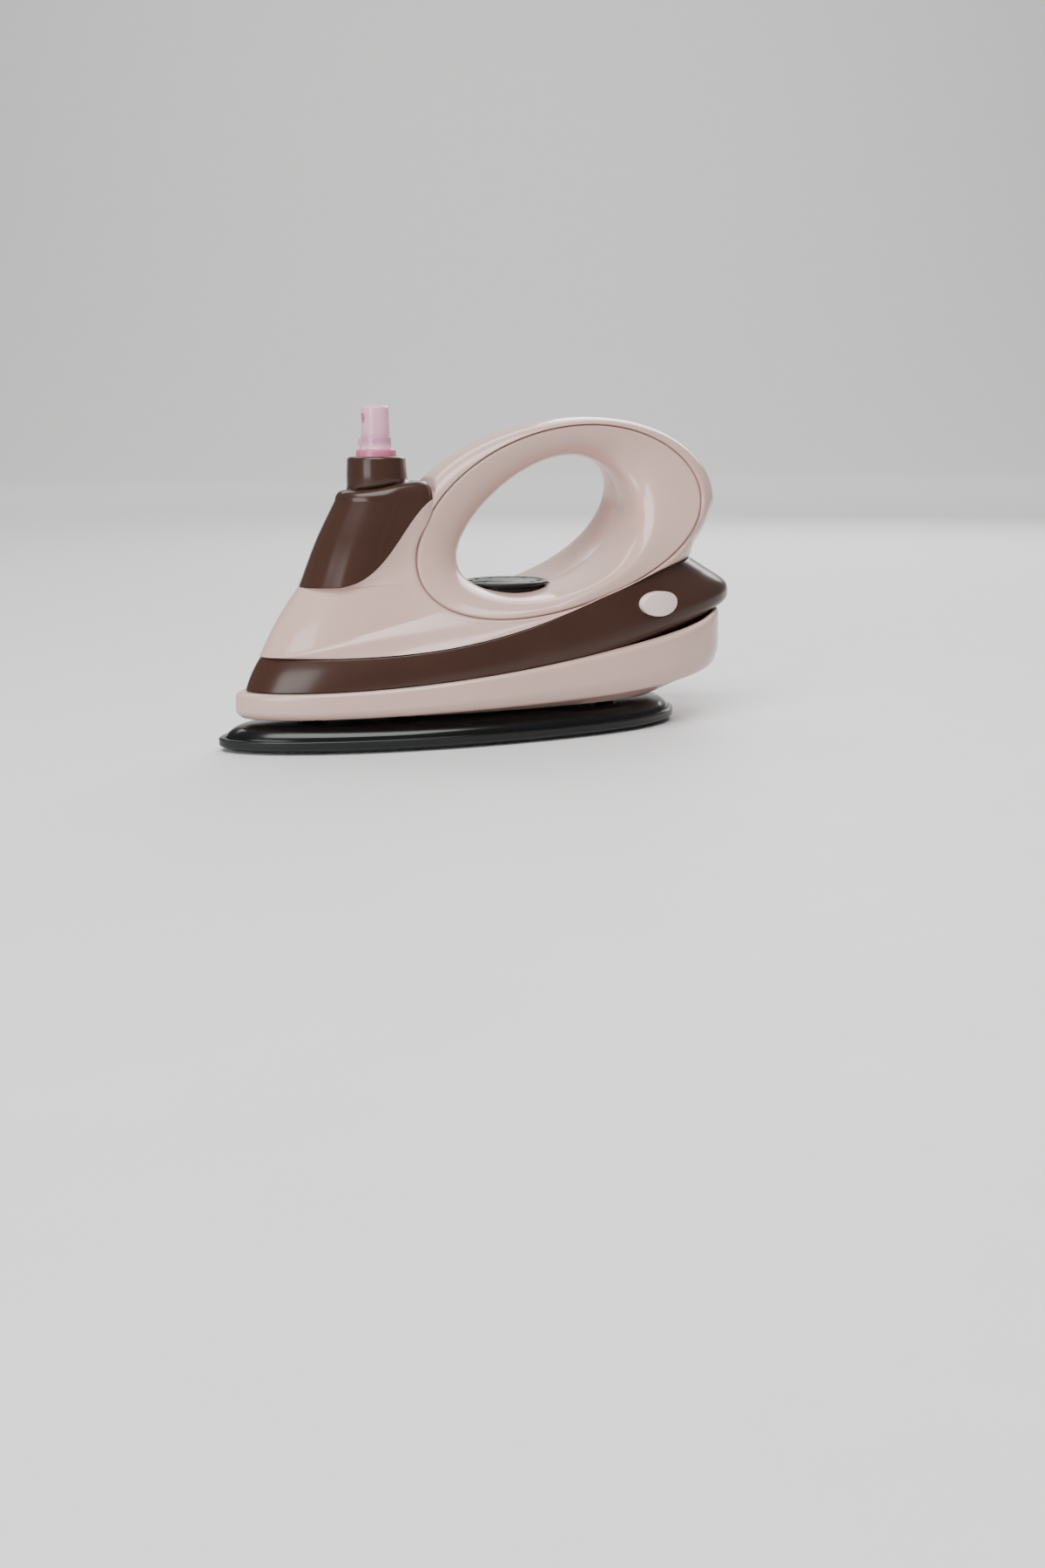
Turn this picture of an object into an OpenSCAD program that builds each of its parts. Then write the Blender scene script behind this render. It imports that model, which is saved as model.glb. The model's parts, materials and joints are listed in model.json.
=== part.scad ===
// Toy iron with a press-down sole, a spray tank, a turning dial and side buttons.
// The nose points along -X, the tail along +X, and the sole lies on z = 0.
// Lengths along the iron are measured back from the tip of the nose.

/* [Overall] */
// Length from the nose of the sole to the tip of the tail
overall_l = 178; // [172:1:190]
// Thickness of the moulded walls
wall = 2; // [1.6:0.1:2.4]
// Gap at the seams between the mouldings
seam_gap = 0.25; // [0.15:0.05:0.3]

/* [Sole] */
// Length of the sole
sole_l = 154.7; // [150:0.1:158]
// Width of the sole
sole_w = 68; // [66:0.5:72]
// Height of the rim of the sole plate
rim_h = 4.25; // [3.8:0.05:4.4]
// Thickness of the sole plate
plate_t = 2; // [1.6:0.1:2.4]
// Height of the sole with its cover
sole_h = 8; // [7.6:0.1:8.2]
// How far the sole slides up when the iron is pressed down
sole_travel = 1; // [0.6:0.1:1.2]

/* [Base pan] */
// Distance of the front of the skirt from the nose
skirt_nose = 5.8; // [5:0.1:7]
// Distance of the rear of the skirt from the nose
skirt_rear = 172; // [169:0.5:174]
// Width of the skirt
skirt_w = 69; // [67:0.5:72]
// Height of the lower edge of the skirt at the nose
skirt_z = 9.3; // [9.1:0.1:10]
// Height of the underside of the pan floor
floor_z = 9.5; // [9.3:0.1:10]
// Thickness of the pan floor
floor_t = 2; // [1.6:0.1:2.4]

/* [Middle band] */
// Height of the lower edge of the band at the nose
band_z = 18.2; // [17:0.1:20]
// Rise of the lower edge of the band towards the tail
band_rise = 17; // [15:0.1:19]
// Distance of the front of the band's lower edge from the nose
band_nose = 9.2; // [8.5:0.1:10]
// Distance of the front of the band's upper edge from the nose
collar_nose = 14.3; // [13:0.1:16]
// Height of the band's upper edge at the nose
collar_z = 28.2; // [27:0.1:30]
// Width of the band's upper edge
collar_w = 61; // [59:0.5:62]

/* [Handle] */
// Distance of the middle of the handle hole from the nose
hole_x = 107.8; // [106:0.1:110]
// Height of the middle of the handle hole
hole_z = 65; // [64:0.1:66.5]
// Half length of the handle hole
hole_a = 31; // [28:0.1:33]
// Half height of the handle hole
hole_b = 18.7; // [17:0.1:19.5]
// Half length of the outline of the handle
handle_a = 56.1; // [55:0.1:57]
// Half height of the outline of the handle
handle_b = 31.8; // [31:0.1:33]
// Half width of the grip
grip_hw = 9.2; // [8:0.1:11]
// Half width of the deck under the handle
deck_hw = 29.3; // [28:0.1:30]

/* [Tank] */
// Distance of the front of the tank's foot from the nose
tank_x = 27.7; // [26:0.1:29]
// Height of the tank's foot at the front
tank_z = 49.2; // [48:0.1:50]
// Half width of the tank at its foot
tank_hw = 15; // [14:0.1:16]
// Diameter of the tank's neck
neck_d = 18; // [17:0.1:19]
// Distance of the neck from the nose
neck_x = 53.9; // [52:0.1:56]
// Height of the rim of the neck
neck_top = 88; // [87:0.1:90]

/* [Sprayer] */
// Diameter of the spray head
head_d = 8.8; // [8:0.1:9.4]
// Height of the top of the spray head above the neck
head_rise = 15.3; // [14.5:0.1:18]
// How far the spray head presses down
spray_travel = 3.5; // [2.5:0.1:3.6]
// Diameter of the pump stem
stem_d = 3; // [2.6:0.1:3.2]

/* [Dial] */
// Distance of the middle of the dial from the nose
dial_x = 97; // [95:0.1:99]
// Diameter of the dial's flange
dial_d = 28.6; // [26:0.1:30]
// Height of the top of the dial
dial_top = 47.9; // [47.5:0.1:49]
// Diameter of the dial's spindle
spindle_d = 5; // [4:0.1:6]

/* [Buttons] */
// Length of a side button
button_l = 15.5; // [13:0.1:17]
// Height of a side button
button_h = 8; // [7:0.1:9]
// Distance of the side buttons from the nose
button_x = 138.9; // [137:0.1:141]
// How far a side button presses in
button_travel = 1; // [0.5:0.1:1.2]

/* [Power] */
// Diameter of a cell
cell_d = 10.5; // [10.2:0.1:10.6]
// Length of a cell
cell_l = 44.5; // [43:0.1:45]
// Diameter of the motor
motor_d = 15; // [13:0.1:15.4]
// Length of the motor
motor_l = 20; // [18:0.1:22]
// Diameter of the motor shaft
shaft_d = 2; // [1.5:0.1:2.4]

/* [Hidden] */

// Facets of round pieces
$fn = 48;
// Length by which a cut runs past what it cuts
over = 1;
// Clearance round a piece that turns or slides in a bore
run_fit = 0.06;
// Clearance between pieces that are put together
fit = 0.15;
// Steps round a moulding, seen from above
ring_steps = 48;
// Depth and thickness of the lips that centre one moulding in the next
lip_h = 2.2;
lip_t = 1.5;

// Where the mouldings are widest
sole_wide_x = 98;
skirt_wide_x = 105;
// Roundness of the nose, and of the tail of each moulding
nose_share = 1.2;
sole_tail_share = 0.75;
skirt_tail_share = 0.7;
band_tail_share = 0.9;
tip_tail_share = 0.8;
// How much more a ring draws in at the nose than at its sides
nose_inset_share = 1.4;

// Sole plate: how far its edge draws in at the bottom, and the wall of its rim
sole_edge = 5.5;
rim_t = 1.45;
rim_shares = [[1, 0], [0.55, 0.11], [0.05, 0.4], [0, 0.52], [0, 0.92], [0.065, 1]];
// Sole cover: where its shoulder starts, how far it draws in, and its wall
cover_inset = rim_t + fit;
cover_z = rim_h + fit;
shoulder_w = 6.6;
cover_t = 1.6;
shoulder_shares = [[0, 0], [0.1, 0.33], [0.35, 0.72], [0.7, 0.92], [1, 1]];
shoulder_in_shares = [[0.72, 1], [0.36, 0.8], [0.1, 0.35], [0, 0]];

// Skirt: how far its lower edge draws in, its rise towards the tail, and its profile
skirt_edge = 4.5;
skirt_rise = 4.2;
skirt_tail_rise = 5;
skirt_tail_x = 110;
skirt_tail_l = 60;
skirt_shares = [
    [1, 0], [0.42, 0.03], [0.13, 0.15], [0, 0.35], [0, 0.6], [0.05, 0.85], [0.16, 0.96], [0.35, 1]
];
skirt_in_shares = [[0.35, 1], [0.05, 0.82], [0, 0.5], [0.25, 0.2]];
// Pan floor
floor_nose = 16;
floor_rear = 147;
floor_hw = 26;
floor_top = floor_z + floor_t;

// Band: width at its lower edge, and how far its tail runs out, from the bottom up
band_hw = 32.1;
band_power_share = 1.8;
collar_power_share = 1.55;
tail_shares = [[0, 0], [0.21, 0.83], [0.45, 1], [0.56, 0.94], [0.81, 0.4], [1, 0]];
band_bulge = 0.5;
// Distance of the tail's lower edge from the nose
band_rear = 169.5;

// Ovals of the side view: hole, the line where the handle is widest, and outline
hole_tilt = 24;
hole_egg_share = 0.17;
ridge_x = 111;
ridge_z = 66.6;
ridge_a = 52;
ridge_b = 26.4;
ridge_tilt = 16.2;
ridge_bend = 2.2;
handle_x = 116.7;
handle_z = 67.1;
handle_tilt = 7.1;
handle_egg_share = 0.018;
// Angles round the ovals: rear and front end of the grip, foot of the tank, nose, narrowest place
rear_psi = -37;
front_psi = 141;
seam_psi = 151;
foot_psi = 180;
nose_psi = 203;
narrow_psi = 80;
// How square and wide the wall of the hole is towards the rear, and the angle where that starts
rear_square_share = 9;
rear_wide_share = 0.4;
rear_square_psi = 250;
// Columns along the grip, the tank seam and the front ridge, and steps across a half
grip_cols = 26;
seam_cols = 8;
front_cols = 4;
inner_steps = 7;
outer_steps = 6;
// Half width at which the outer wall becomes fully round
round_hw = 12;
flank_share = 2.7;
// Flatter outer wall near the rear end of the grip, and the angle over which that fades
rear_flank_share = 1.3;
rear_flank_turn = 50;
front_bulge = 0.6;

// Tank: length of its seam, rise of the seam, lean of the sides, depth of its round nose
seam_l = 42.3;
seam_rise = 26;
seam_power_share = 1.6;
tank_lean_share = 0.14;
tank_nose_l = 16;
seam_end = 0.6;
tank_rear = tank_x + seam_l + seam_end;
tank_front_shares = [[0, 0], [0.55, 0.385], [1, 0.78]];
shoulder_z = 75;
shoulder_rise = 3;
tank_top_rise = 2.4;
tank_steps = 8;
step_hw = 7;

// Screws: shank, head and length
screw_d = 2.2;
head_h = 1.6;
screw_head_d = 4.6;
thin_head_h = 1.1;
sole_sink = 1.4;
flange_head_d = 9;
pilot_d = screw_d + fit / 3;
clear_d = screw_d + 2 * fit;
sink_d = screw_head_d + 2 * fit;
post_d = 7;
case_boss_d = 7.2;
case_seat = 4.5;
case_screw_l = 10.5;
base_screw_l = 12;
boss_h = 4;
boss_wall = 1.4;
// Angles round the ridge where screws join the two halves, and their share across
case_psis = [-18, 25, 75, 125, 203];
case_share = 0.75;
// Angle round the hole and distance from the middle plane of the posts of the housing
front_post_psi = 212;
front_post_y = 18;
front_post = [front_post_psi, front_post_y];
rear_post_psi = 270;
rear_post_y = 21.8;
rear_post = [rear_post_psi, rear_post_y];
tank_post_d = 8;
tank_post_x = 44;

function mix(a, b, t) = a + (b - a) * t;
function spow(v, e) = sign(v) * pow(abs(v), e);

// A ring seen from above, from nose to tail and back, at angle b
function ring_x(b, nose, rear, wide, e) =
    cos(b) > 0 ? wide - (wide - nose) * cos(b) : wide + (rear - wide) * pow(-cos(b), e);
function ring_w(b, hw, e) = -hw * spow(sin(b), cos(b) > 0 ? nose_share : e);
// Angle of a ring at distance x from the nose
function ring_b(x, nose, rear, wide, e) =
    x < wide ? acos((wide - x) / (wide - nose)) : 180 - acos(pow((x - wide) / (rear - wide), 1 / e));

// Surfaces through rings of points: quads are split into triangles
function skin_faces(rows, n, closed) = [
    for (i = [0 : rows - (closed ? 1 : 2)], j = [0 : n - 1])
        let(
            a = i * n + j,
            b = i * n + (j + 1) % n,
            d = ((i + 1) % rows) * n + j,
            c = ((i + 1) % rows) * n + (j + 1) % n
        )
        each [[a, d, c], [a, c, b]]
];
module loft(rings) {
    n = len(rings[0]);
    rows = len(rings);
    polyhedron(
        points = [for (r = rings) each r],
        faces = concat(
            skin_faces(rows, n, false),
            [[for (j = [0 : n - 1]) j]],
            [[for (j = [n - 1 : -1 : 0]) (rows - 1) * n + j]]
        ),
        convexity = 8
    );
}
module hoop(rings) {
    polyhedron(
        points = [for (r = rings) each r],
        faces = skin_faces(len(rings), len(rings[0]), true),
        convexity = 8
    );
}
module from_nose() {
    translate([-overall_l / 2, 0, 0]) children();
}

// Sole
function sole_ring(inset, z) = [
    for (i = [0 : ring_steps - 1])
        let(b = i * 360 / ring_steps)
        [
            ring_x(b, nose_inset_share * inset, sole_l - inset, sole_wide_x, sole_tail_share),
            ring_w(b, sole_w / 2 - inset, sole_tail_share),
            z
        ]
];

// Height of the skirt's lower edge, the band's lower edge and its upper edge
function skirt_bottom(x) =
    skirt_z + skirt_rise * x / skirt_rear
    + skirt_tail_rise * pow(max(0, x - skirt_tail_x) / skirt_tail_l, 2);
function along(x) = min(1, max(0, (x - collar_nose) / (collar_rear - collar_nose)));
function band_bottom(u) = band_z + band_rise * pow(u, band_power_share);
function band_top(u) =
    collar_z + (collar_rear_z - collar_z) * (1 - cos(180 * pow(u, collar_power_share))) / 2;
function collar_x(b) = ring_x(b, collar_nose, collar_rear, sole_wide_x, band_tail_share);

function skirt_ring(inset, share) = [
    for (i = [0 : ring_steps - 1])
        let(
            b = i * 360 / ring_steps,
            x = ring_x(b, skirt_nose + nose_inset_share * inset, skirt_rear - inset, skirt_wide_x,
                skirt_tail_share),
            low = skirt_bottom(x),
            high = band_bottom(along(collar_x(b))) - seam_gap
        )
        [x, ring_w(b, skirt_w / 2 - inset, skirt_tail_share), mix(low, high, share)]
];
function floor_ring(inset, z) = [
    for (i = [0 : ring_steps - 1])
        let(b = i * 360 / ring_steps)
        [
            ring_x(b, floor_nose + inset, floor_rear - inset, skirt_wide_x, skirt_tail_share),
            ring_w(b, floor_hw - inset, skirt_tail_share),
            z
        ]
];
// A ring of the band: share of its height, how far its tail runs out, inset, and drop
function band_ring(share, tail_share, inset, drop = 0) = [
    for (i = [0 : ring_steps - 1])
        let(
            b = i * 360 / ring_steps,
            u = along(collar_x(b)),
            bulge = band_bulge * 4 * share * (1 - share),
            nose = mix(band_nose, collar_nose, share) - bulge,
            rear = mix(band_rear, collar_rear, share)
                + tail_share * (overall_l - mix(band_rear, collar_rear, tail_shares[2][0])),
            e = mix(band_tail_share, tip_tail_share, tail_share),
            hw = mix(band_hw, collar_w / 2, share) + bulge
        )
        [
            ring_x(b, nose + nose_inset_share * inset, rear - inset, sole_wide_x, e),
            ring_w(b, hw - inset, e),
            mix(band_bottom(u), band_top(u), share) - drop
        ]
];

// Side view of the handle
function oval(x, z, a, b, tilt, egg_share, bend, psi) =
    let(u = a * cos(psi), v = b * sin(psi) * (1 + egg_share * cos(psi)) - bend * cos(2 * psi))
    [x + u * cos(tilt) - v * sin(tilt), z + u * sin(tilt) + v * cos(tilt)];
function hole_oval(psi) = oval(hole_x, hole_z, hole_a, hole_b, hole_tilt, hole_egg_share, 0, psi);
function ridge_oval(psi) = oval(ridge_x, ridge_z, ridge_a, ridge_b, ridge_tilt, 0, ridge_bend, psi);
function handle_oval(psi) =
    oval(handle_x, handle_z, handle_a, handle_b, handle_tilt, handle_egg_share, 0, psi);
collar_rear = handle_oval(rear_psi)[0];
collar_rear_z = handle_oval(rear_psi)[1];

function rear_share(psi) = max(0, sin(psi - rear_square_psi));
function deck_share(psi) =
    pow((1 - cos(psi - narrow_psi)) / 2, 2 - rear_wide_share * rear_share(psi));
function ridge_hw(psi) = mix(grip_hw, deck_hw, deck_share(psi));

// Tank foot and sides
function seam_height(x) =
    tank_z + seam_rise * (1 - cos(180 * pow(min(1, max(0, (x - tank_x) / seam_l)), seam_power_share))) / 2;
function tank_front(z) =
    let(
        rise = max(0, z - tank_z) / (shoulder_z - tank_z),
        s = tank_front_shares,
        f = rise < s[1][0]
            ? s[1][1] * rise / s[1][0]
            : mix(s[1][1], s[2][1], (rise - s[1][0]) / (1 - s[1][0]))
    )
    tank_x + f * tank_nose_l;
function tank_side(z) = tank_hw - tank_lean_share * max(0, z - tank_z);
function tank_half(x, z) =
    tank_side(z) * pow(1 - pow(1 - min(1, max(0, (x - tank_front(z)) / tank_nose_l)), 2), nose_share / 2);

// Columns of a housing half: angle, then the outer end, its two lip points and the inner end as
// distance from the nose, height and half width
function lip_point(b, inset, drop) =
    let(u = along(collar_x(b)))
    [
        ring_x(b, collar_nose + nose_inset_share * inset, collar_rear - inset, sole_wide_x,
            band_tail_share),
        band_top(u) + seam_gap - drop,
        max(0, -ring_w(b, collar_w / 2 - inset, band_tail_share))
    ];
function lip_column(b, psi) = [
    psi,
    lip_point(b, 0, 0),
    lip_point(b, wall + fit, 0),
    lip_point(b, wall + fit, lip_h),
    lip_point(b, wall + fit + lip_t, lip_h)
];
function rim_column(psi, x, z, h) =
    let(
        g = ridge_oval(psi),
        d = [g[0] - x, g[1] - z],
        shift = wall * sqrt(max(0, 1 - pow(h / wall, 2))) / norm(d),
        o = [x, z, h],
        i = [x + d[0] * shift, z + d[1] * shift, max(0, h - wall)]
    )
    [psi, o, mix(o, i, 1 / 3), mix(o, i, 2 / 3), i];
function columns() = concat(
    [lip_column(180, rear_psi)],
    [
        for (i = [1 : grip_cols])
            let(psi = mix(rear_psi, front_psi, i / grip_cols), o = handle_oval(psi))
            rim_column(psi, o[0], o[1], 0)
    ],
    [
        rim_column(
            (front_psi + seam_psi) / 2,
            tank_rear + seam_gap,
            (handle_oval(front_psi)[1] + tank_z + seam_rise) / 2,
            step_hw
        )
    ],
    [
        for (i = [0 : seam_cols])
            let(
                x = i == 0 ? tank_rear + seam_gap : tank_x + seam_l * (1 - i / seam_cols),
                z = seam_height(x) - seam_gap
            )
            rim_column(mix(seam_psi, foot_psi, i / seam_cols), x, z, tank_half(x, z))
    ],
    [
        for (i = [1 : front_cols - 1])
            let(t = i / front_cols)
            rim_column(
                mix(foot_psi, nose_psi, t),
                mix(tank_x, collar_nose, t) - front_bulge * 4 * t * (1 - t),
                mix(tank_z - seam_gap, collar_z + seam_gap, t) + front_bulge * 4 * t * (1 - t),
                0
            )
    ],
    [
        for (i = [0 : ring_steps / 2 - 1])
            let(b = i * 360 / ring_steps, u = along(collar_x(b)))
            lip_column(b, mix(nose_psi, rear_psi + 360, 1 - pow(1 - u, 2 / 3)))
    ]
);

// Point of the wall between the hole and the ridge: share t, drawn in by the given thickness
function funnel_power(psi) =
    2 + deck_share(psi) * (1 + rear_square_share * rear_share(psi));
function funnel_point(psi, t, inset) =
    let(
        g = ridge_oval(psi),
        r = hole_oval(psi),
        hole = r + inset * (g - r) / norm(g - r),
        n = funnel_power(psi),
        p = mix(hole, g, t)
    )
    [p[0], p[1], (ridge_hw(psi) - inset) * pow(1 - pow(1 - t, n), 1 / n)];
function flank_power(psi) =
    mix(
        rear_flank_share,
        flank_share,
        min(1, min(abs(psi - rear_psi), abs(rear_psi + 360 - psi)) / rear_flank_turn)
    );
function flank_point(psi, end, t, inset) =
    let(
        g = ridge_oval(psi),
        f = min(1, end[2] / round_hw),
        n = mix(flank_power(psi), 2, f),
        q = mix(1 / flank_power(psi), 1, f),
        p = mix(g, [end[0], end[1]], t)
    )
    [p[0], p[1], end[2] + (ridge_hw(psi) - inset - end[2]) * pow(1 - pow(t, n), q)];
// One column of the left half as points of the model
function half_ring(c) =
    let(
        outer = concat(
            [for (i = [0 : inner_steps]) funnel_point(c[0], 1 - cos(90 * i / inner_steps), 0)],
            [for (i = [1 : outer_steps]) flank_point(c[0], c[1], sin(90 * i / outer_steps), 0)]
        ),
        inner = concat(
            [for (i = [outer_steps : -1 : 1]) flank_point(c[0], c[4], sin(90 * i / outer_steps), wall)],
            [for (i = [inner_steps : -1 : 0]) funnel_point(c[0], 1 - cos(90 * i / inner_steps), wall)]
        )
    )
    [for (p = concat(outer, [c[2], c[3]], inner)) [p[0], -p[2], p[1]]];
module half_shell() {
    hoop([for (c = columns()) half_ring(c)]);
}

// A screw with its head down at the origin, its shank along +Z, and a cross in its head
module screw(l, head = screw_head_d, thick = head_h) {
    difference() {
        union() {
            cylinder(d = head, h = thick);
            cylinder(d = screw_d, h = thick + l);
        }
        for (a = [0, 90])
            rotate([0, 0, a])
                translate([-screw_head_d / 3, -head_h / 4, -over])
                    cube([2 * screw_head_d / 3, head_h / 2, over + thick / 2]);
    }
}

// Places of the posts that the sole slides on
guide_d = 6;
guide_l = 18;
guide_roof = 2;
spring_room_d = 10.2;
guide_front_x = 30;
guide_rear_x = 126;
guide_rear_y = 15;
guides = [[guide_front_x, 0], [guide_rear_x, guide_rear_y], [guide_rear_x, -guide_rear_y]];
module at_guides() {
    for (p = guides) translate([p[0], p[1], 0]) children();
}

// Battery box and its window in the pan and the sole
box_x = 61.5;
box_wall = 1.4;
cell_gap = 1;
spring_l = 6.2;
contact_t = 0.4;
box_l = cell_l + spring_l + 2 * contact_t + 2 * box_wall + 2 * fit;
box_w = 2 * cell_d + cell_gap + 2 * box_wall + 2 * fit;
box_bottom = 3.2;
box_top = 15.6;
box_ear = 5;
ear_t = 1.4;
hatch_t = 1.4;
hatch_boss_d = 6.4;
hatch_boss_x = box_x + box_l + hatch_boss_d / 2 - over / 2;
window_gap = 0.6;
cell_z = box_bottom + cell_d / 2 + fit;
module box_outline(gap) {
    translate([box_x - gap, -box_w / 2 - gap]) square([box_l + 2 * gap, box_w + 2 * gap]);
    translate([hatch_boss_x, 0]) circle(d = hatch_boss_d + 2 * gap);
    translate([box_x + box_l - over, -hatch_boss_d / 2 - gap])
        square([over + hatch_boss_d / 2 + gap / 2, hatch_boss_d + 2 * gap]);
}

// Press switch and the post of the sole that works it
switch_x = 47;
switch_y = 12;
switch_l = 12;
switch_w = 6;
switch_z = 14.4;
switch_h = 6;
key_d = 4;
plunger_d = 2.4;
key_rise = 1.2;
key_top = floor_top + key_rise;

// Black plate with its rim
module sole_plate() {
    color([0.05, 0.06, 0.07])
        from_nose()
            difference() {
                loft(concat(
                    [for (p = rim_shares) sole_ring(p[0] * sole_edge, p[1] * rim_h)],
                    [sole_ring(rim_t, rim_h), sole_ring(rim_t, plate_t)]
                ));
                translate([0, 0, -over]) linear_extrude(plate_t + 2 * over) box_outline(window_gap);
                at_guides() {
                    translate([0, 0, -over]) cylinder(d = clear_d, h = plate_t + 2 * over);
                    translate([0, 0, -over]) cylinder(d = screw_head_d + 2 * fit, h = over + sole_sink);
                }
            }
}

// Black cover over the plate, with the posts that slide in the pan
module sole_cover() {
    color([0.06, 0.07, 0.08])
        from_nose()
            difference() {
                union() {
                    loft(concat(
                        [
                            for (p = shoulder_in_shares)
                                sole_ring(
                                    cover_inset + cover_t + p[0] * shoulder_w,
                                    cover_z + p[1] * (sole_h - cover_z - cover_t)
                                )
                        ],
                        [sole_ring(cover_inset + cover_t, plate_t), sole_ring(cover_inset, plate_t)],
                        [
                            for (p = shoulder_shares)
                                sole_ring(
                                    cover_inset + p[0] * shoulder_w,
                                    cover_z + p[1] * (sole_h - cover_z)
                                )
                        ]
                    ));
                    at_guides()
                        translate([0, 0, plate_t]) cylinder(d = guide_d, h = guide_l + run_fit - plate_t);
                    translate([switch_x, switch_y, sole_h - cover_t / 2])
                        cylinder(d = key_d, h = key_top - sole_h + cover_t / 2);
                }
                translate([0, 0, -over]) linear_extrude(sole_h + 2 * over) box_outline(window_gap);
                at_guides() {
                    translate([0, 0, -over]) cylinder(d = pilot_d, h = sole_h + over);
                    translate([0, 0, guide_l - sole_h]) cylinder(d = pilot_d, h = sole_h + over);
                }
            }
}

// Middle of the wall at an angle and distance from the middle plane, as a point of the left half,
// and its tilt
function wall_point(site) =
    let(
        n = funnel_power(site[0]),
        share = site[1] / (ridge_hw(site[0]) - wall / 2),
        p = funnel_point(site[0], 1 - pow(1 - pow(share, n), 1 / n), wall / 2)
    )
    [p[0], -p[2], p[1]];
function wall_tilt(site) =
    let(
        small = wall / 10,
        p = wall_point(site),
        n = cross(wall_point([site[0] + 1, site[1]]) - p, wall_point([site[0], site[1] + small]) - p),
        m = n[2] < 0 ? -n : n
    )
    [0, acos(m[2] / norm(m)), atan2(m[1], m[0])];
// A post from the given height up into the wall of the left half, with a bore from below
module deck_post(site, z, d, bore) {
    p = wall_point(site);
    difference() {
        translate([p[0], p[1], z]) cylinder(d = d, h = p[2] + d - z);
        translate(p) rotate(wall_tilt(site)) translate([-2 * d, -2 * d, 0]) cube(4 * d);
        translate([p[0], p[1], z - over]) cylinder(d = pilot_d, h = bore + over);
    }
}
module at_posts() {
    for (site = [front_post, rear_post], side = [1, -1]) {
        p = wall_point(site);
        translate([p[0], side * p[1], 0]) children();
    }
    translate([tank_post_x, 0, 0]) children();
}

// Dial seat under the deck
seat_z = 37.5;
seat_t = 2;
seat_d = 29;
seat_boss_d = 9;
seat_boss_h = 3;
seat_psi = 236;
seat_y = 20;
seat_site = [seat_psi, seat_y];
seat_ear_d = 8;
seat_screw_l = 5;
hub_d = 25.6;
hub_h = 4.5;
hub_wall = 1.6;
dial_t = 1.2;
waist_d = 24.4;
clip_t = 0.8;
clip_d = 8;
groove_d = 4;
spindle_end = 1.2;
hub_gap = 0.5;

// Frame that guides the side buttons, hung from the deck
frame_psi = 296;
frame_y = 18;
frame_site = [frame_psi, frame_y];
frame_z = 45;
frame_t = 2;
frame_w = 9;
frame_boss_d = 6.4;
button_y = 29.3;
button_z = 40.4;
button_turn = 14;
button_t = 3;
button_dome = 0.8;
button_proud = 0.4;
button_gap = 0.2;
button_stem_d = 4;
button_stem_l = 13;
guide_block = 8;
guide_depth = 6;

// Pump
neck_wall = 3;
neck_round = 1.2;
recess_d = 13;
recess_h = 2.2;
gasket_t = 0.8;
plug_d = 11.5;
plug_l = 7;
collar_rise = 1.2;
sleeve_d = 10;
sleeve_bore = 9;
sleeve_h = 4.8;
lug_w = 2.2;
lug_t = 1;
lug_turn = 35;
chamber_d = 7.6;
chamber_l = 18;
chamber_wall = 0.8;
cap_t = 1.2;
piston_t = 3;
piston_z = 6.5;
tail_d = 4.2;
tail_l = 2.5;
tube_d = 2.4;
tube_bore = 1.4;
elbow_d = 3.2;
tube_bend = 50;
tube_l = 16;
ball_d = 2.2;
head_top_d = 8.4;
head_round = 1.2;
head_skirt = 4;
head_wall = 1;
jet_z = 3.8;
jet_d = 3.4;
jet_l = 2.4;
jet_hole_d = 0.6;
neck_seat = neck_top - recess_h;
chamber_top = neck_seat + gasket_t;
chamber_low = chamber_top - chamber_l + cap_t;
cap_z = chamber_top + cap_t;
head_bottom = cap_z + cap_t + spray_travel + 3 * fit;
spray_spring_wire = 0.5;
spray_spring_turns = 5;

// Sole springs
sole_spring_wire = 0.7;
sole_spring_turns = 5;

// Motor and its saddle
motor_x = 128;
motor_z = 22.5;
motor_nose_d = 5;
motor_nose_l = 1.5;
saddle_x = 134;
saddle_l = 10;
saddle_wall = 1.7;
clamp_ear = 4.6;
clamp_t = 2;
clamp_screw_l = 7;
shaft_out = 8;
weight_r = 5;
weight_l = 5;
weight_gap = 1;

// Wires
wire_d = 1.2;
wire_turns = 8;

hub_top = dial_top - dial_t;
box_roof = 1.2;
box_cell_y = (cell_d + cell_gap) / 2;

// A tube along points, with flat ends; and the points of a coil
function unit(v) = v / norm(v);
function tube_rings(p, d, sides) = [
    for (i = [0 : len(p) - 1])
        let(
            t = unit(p[min(i + 1, len(p) - 1)] - p[max(i - 1, 0)]),
            n = unit(cross(t, abs(t[2]) > 0.9 ? [1, 0, 0] : [0, 0, 1])),
            m = cross(t, n)
        )
        [for (j = [0 : sides - 1]) p[i] + d / 2 * (cos(360 * j / sides) * n + sin(360 * j / sides) * m)]
];
function coil_points(r, z0, z1, turns, rings) = [
    for (i = [0 : turns * rings])
        let(a = 360 * i / rings)
        [r * cos(a), r * sin(a), mix(z0, z1, i / (turns * rings))]
];
module coil(r, wire, z0, z1, turns) {
    p = coil_points(r, z0 + wire / 2, z1 - wire / 2, turns, 12);
    gap = (z1 - z0 - wire) / turns - wire;
    echo(least_gap_of_coil = gap);
    tube(p, wire, 6);
}
module tube(p, d, sides) {
    rings = tube_rings(p, d, sides);
    loft(rings);
}

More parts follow.
